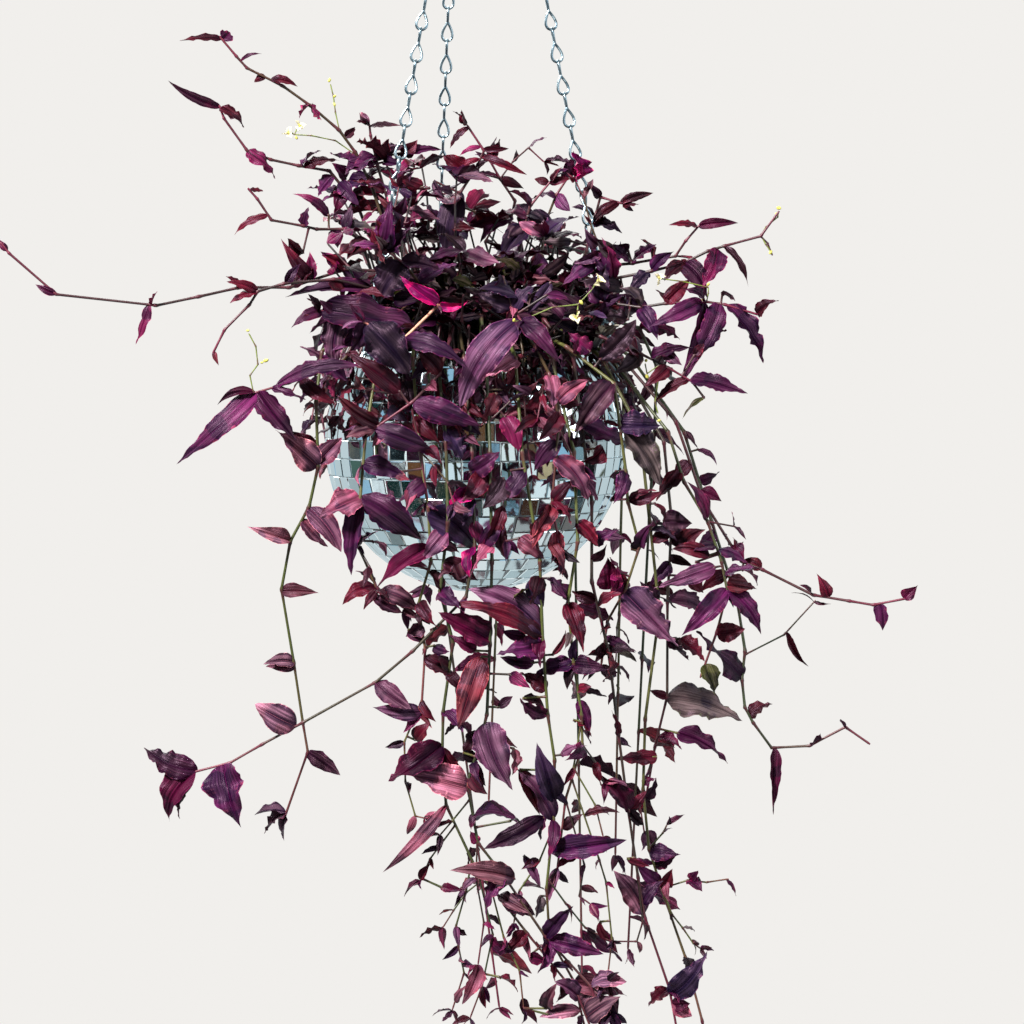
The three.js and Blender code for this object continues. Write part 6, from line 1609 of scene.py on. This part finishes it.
def flowerAims(seed):
    # Which way an open flower faces, to the front at a slant, and the aims of its petals round that.
    facing = unit(np.array([drawFrom((-0.6, 0.6), seed), -1, drawFrom((-0.2, 0.6), seed + 5)]))
    first = unit(np.cross(facing, np.array([0.3, 0.2, 1.0])))
    aims = []
    for petal in range(flowerShape["petals"]):
        turn = 2 * np.pi * (petal + draw(seed)) / flowerShape["petals"]
        aims.append(unit(first * np.cos(turn) + np.cross(facing, first) * np.sin(turn) + facing * 0.35))
    return facing, aims


def buildSprigs(plans, materials):
    # A bud is an egg and an open flower three broad petals round a few anthers, at the ends of thin stalks.
    petals, stalks = Growth(), Growth()
    blades, buds, anthers = [], [], []
    size = flowerShape["petal"]
    for number, sprig in enumerate(flowerSprigs):
        line = plans[sprig["stem"]]["line"]
        stalk = twigLine(sprig["stalk"], line, line[-1][1])
        depth = stalk[1][1]
        growStem(stalks, stalk, np.full(len(stalk), flowerShape["stalk"]), number * 3.3, flowerShape["tint"],
                 False)
        buds.extend(seen(across, down, depth) for across, down in rowsOf(sprig["buds"]))
        for k, (across, down) in enumerate(rowsOf(sprig.get("flowers", ""))):
            centre = seen(across, down, depth)
            foot = min(stalk, key=lambda point: np.linalg.norm(point - centre))
            growStem(stalks, np.array([foot, mix(foot, centre, 0.5) + rise(0.8), centre]),
                     np.full(3, flowerShape["stalk"]), number + k, flowerShape["tint"], False)
            facing, aims = flowerAims(number + k)
            for petal, aim in enumerate(aims):
                blades.append(newLeaf(centre, centre + aim * size, size * flowerShape["breadth"],
                                      squareTo(facing, aim), number * 9.1 + k * 4.3 + petal, "c"))
                anthers.append(centre + facing * 1.6 + aim * 0.8)
    growBlades(petals, blades)
    for places, radii in ((buds, flowerShape["bud"]), (anthers, flowerShape["anther"])):
        seeds = np.arange(len(places)) + 2.5
        sizes = np.array(radii) * drawFrom((0.8, 1.25), seeds)[:, None]
        petals.sleeves(*lumpRings(np.array(places), sizes, seeds, 5, 10), place=1)
    finishPlant(petals, "flowers", [petalSkin(), budSkin()])
    stalks.piece("flower_stalks", materials, "purple_foliage")


# Old dry leaves caught between the stems over the soil, their dark colours darkened further by painted
# shade, and the golden angle.
goldenTurn = 137.508
litter = {"count": 420, "radius": 80, "heights": (50, 112), "lengths": (10, 26), "breadth": 0.4,
          "tones": "bbbwob", "shade": 0.35}


def buildLitter(materials):
    # The golden angle spreads the places evenly, and each leaf lies at its own slant.
    leaves = []
    for i in range(litter["count"]):
        seed = i * 9.7 + 7000
        base = around((i * goldenTurn) % 360, litter["radius"] * np.sqrt((i + 0.5) / litter["count"]),
                      drawFrom(litter["heights"], seed))
        aim = unit(outward(360 * draw(seed + 1)) + rise(drawFrom((-1, 1), seed + 2)))
        tip = base + aim * drawFrom(litter["lengths"], seed + 3)
        if np.hypot(tip[0], tip[1]) <= litter["radius"] and tip[2] >= soil["top"]:
            leaves.append(newLeaf(base, tip, litter["breadth"] * np.linalg.norm(tip - base),
                                  squareTo(np.array([0.2, -0.5, 1.0]), aim), seed,
                                  litter["tones"][i % len(litter["tones"])], shade=litter["shade"]))
    growth = Growth()
    growBlades(growth, leaves)
    # The dry leaves take the third skin, the dull copy that is painted shade.
    finishPlant(growth, "dry_leaves", materials[2:])


# The crown: shoots from all over the soil, tallest at the back and to the left.
crown = {"shoots": 140, "sectors": 6, "rootRadius": 74, "rootDepth": 3, "spacing": (15, 25),
         "zigzag": (-4.5, 4.5), "lean": (1.1, 1.9), "leanOut": (0, 26), "turned": (-50, 50),
         "radii": (0.95, 0.6), "shares": (0.25, 1),
         "skyline": [(-190, 90), (-117, 120), (-97, 172), (-63, 188), (-25, 194), (-5, 174), (17, 160),
                     (63, 140), (83, 118), (110, 92), (173, 70)],
         "front": (-10, -75), "frontShare": 0.4, "chainRoom": 6.5, "bare": 0.5, "lengths": (21, 42),
         "tipShare": 0.8, "widths": (0.34, 0.5), "shadeUp": (95, 145), "shadeOut": (86, 118), "shade": 0.16,
         "inner": 0.5, "within": (-92, 102), "shootsTo": 98, "frontmost": -97, "boundBelow": 140}


def crownShoot(azimuth, radius, seed):
    # A zigzag from its root to a lean, up to a share of the skyline there: root (1 - t^1.5) + top t^1.5,
    # with a height that runs as t^0.9.
    root = around(azimuth, radius, soil["top"] - crown["rootDepth"])
    reach = radius * drawFrom(crown["lean"], seed + 1) + drawFrom(crown["leanOut"], seed + 2)
    level = outward(azimuth + drawFrom(crown["turned"], seed + 3)) * reach
    skyline = np.interp(level[0], *np.array(crown["skyline"]).T)
    front = mix(crown["frontShare"], 1, 1 - smooth(*crown["front"], level[1]))
    height = soil["top"] + (skyline - soil["top"]) * front * drawFrom(crown["shares"], seed + 4)
    count = max(2, round((height - soil["top"]) / drawFrom(crown["spacing"], seed + 5)))
    t = (np.arange(count + 1) / count)[:, None]
    zigzag = np.stack([*(drawFrom(crown["zigzag"], seed + k + np.arange(count + 1)) for k in (6, 7.5)),
                       0 * t[:, 0]], -1)
    shoot = root * (1 - t ** 1.5) + (level + rise(height)) * t ** 1.5 + zigzag * np.minimum(t * 2, 1)
    shoot[:, 2] = mix(root[2], height, t[:, 0] ** 0.9)
    return shoot


def crownLeaf(base, atTip, turn, out, seed):
    # A leaf of the crown, or none where it would meet a chain or pass the bush's bounds. Leaves low in the
    # crown and near its axis are darkened by painted shade.
    aside = outward(turn + drawFrom((-40, 40), seed))
    up = drawFrom((-0.3, 0.6) if atTip else (-0.8, 0.4), seed + 1)
    size = drawFrom(crown["lengths"], seed + 2) * (crown["tipShare"] if atTip else 1)
    tip = base + unit(aside + rise(up)) * size
    left, right = crown["within"]
    if chainGap(np.linspace(base, tip, 4)) < crown["chainRoom"] or tip[1] < crown["frontmost"]:
        return None
    if tip[2] < crown["boundBelow"] and not left < tip[0] < right:
        return None
    face = squareTo(np.array([0, -0.35, 1.0]) + 0.4 * out, unit(tip - base))
    # Painted shade: the share of darkening grows lower in the crown and nearer its axis.
    inside = ((1 - smooth(*crown["shadeUp"], base[2]))
              * (1 - smooth(*crown["shadeOut"], np.hypot(tip[0], tip[1]))))
    return newLeaf(base, tip, size * drawFrom(crown["widths"], seed + 3), face, seed, drawnTone(seed),
                   shade=mix(1, crown["shade"], inside))


def buildCrown(materials):
    # Shoots at the golden angle, with leaves to both sides and three round the tip, in a piece a sector.
    sectors = [(Growth(), []) for _ in range(crown["sectors"])]
    for i in range(crown["shoots"]):
        seed = i * 23.7 + 4000
        azimuth = (i * goldenTurn + 30 * draw(seed)) % 360
        growth, leaves = sectors[int(azimuth / 360 * crown["sectors"])]
        shoot = crownShoot(azimuth, crown["rootRadius"] * np.sqrt((i + 0.5) / crown["shoots"]), seed)
        tall = shoot[-1, 2] >= crown["boundBelow"]
        if chainGap(shoot) < crown["chainRoom"] or not tall and abs(shoot[-1, 0]) > crown["shootsTo"]:
            continue
        # The crown's shoots are near black: their own dark stem colour with painted shade from inside the
        # bush.
        growStem(growth, shoot, np.linspace(*crown["radii"], len(shoot)), seed, stemShape["crownStemWithPaintedShade"], False)
        turned = 360 * draw(seed + 12)
        count = len(shoot) - 1
        for k, extra in [*((k, 0) for k in range(1, count)), (count, 0), (count, 1), (count, 2)]:
            own = seed + k * 3.1 + extra * 1.7
            turn = turned + 180 * (k % 2) + 120 * extra
            if k == count or draw(own + 5) >= crown["bare"]:
                leaf = crownLeaf(shoot[k], k == count, turn, outward(azimuth), own)
                leaves.extend([leaf] if leaf else [])
    for number, (growth, leaves) in enumerate(sectors):
        # Leaves whose painted shade brings them to the inner share or darker take the third skin, the dull
        # copy that stands for shade.
        growBlades(growth, [leaf for leaf in leaves if leaf["shade"] > crown["inner"]])
        growBlades(growth, [leaf for leaf in leaves if leaf["shade"] <= crown["inner"]], 2)
        finishPlant(growth, f"crown_{number}", materials)
    return sum(len(leaves) for _, leaves in sectors)


def planPlant():
    # Every stem's line and leaves, the larger leaves fitted to the part's own corners.
    plans = {}
    for index, stem in enumerate([*shownStems, *hiddenStems]):
        plan = planStem(stem, index)
        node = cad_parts[stem["name"]].data
        corners = np.empty(len(node.vertices) * 3)
        node.vertices.foreach_get("co", corners)
        plan["leaves"] = fitLeaves(plan, corners.reshape(-1, 3) / metre - rise(ballHeight))
        addFineGrowth(plan, index, "path" in stem)
        plans[stem["name"]] = plan
    addSmallLeaves([plans[stem["name"]] for stem in shownStems])
    return plans


def buildStems(plans, materials):
    # Each stem with its own leaves and small growth in one piece, which stands for the part's stem.
    for index, (name, plan) in enumerate(plans.items()):
        growth, line, seed = Growth(), plan["line"], index * 41.3
        growStem(growth, line, np.linspace(stemShape["radius"], stemShape["tipRadius"], len(line)), seed,
                 stemShape["tints"].get(name))
        for number, twig in enumerate([*plan["twigs"], *plan["fineTwigs"]]):
            growStem(growth, twig, np.linspace(*stemShape["twig"], len(twig)), seed + number)
        for leaf in plan["leaves"]:
            if leaf.get("stalk") is not None:
                stalk = np.array([leaf["stalk"], leaf["base"], mix(leaf["base"], leaf["tip"], 0.12)])
                growStem(growth, stalk, np.array(stemShape["stalk"]), leaf["seed"], young=False)
        growBlades(growth, plan["leaves"])
        finishPlant(growth, f"{name}_grown", materials, [name])


# The third skin is a dull copy of the leaf skin with almost no gloss or light let through: painted shade
# for leaves deep in the crown and for dry ones.
plantSkins = [leafSkin("tradescantiaLeaf", 0.2, 0.12), stemSkin(), leafSkin("shadedLeaf", 0.03, 0.02)]
plantPlans = planPlant()
buildStems(plantPlans, plantSkins)
print("stems grown, leaves:", sum(len(plan["leaves"]) for plan in plantPlans.values()))
buildSprigs(plantPlans, plantSkins)
print("crown grown, leaves:", buildCrown(plantSkins))
buildLitter(plantSkins)
buildFringe(plantSkins)
print("rim and soil grown over")
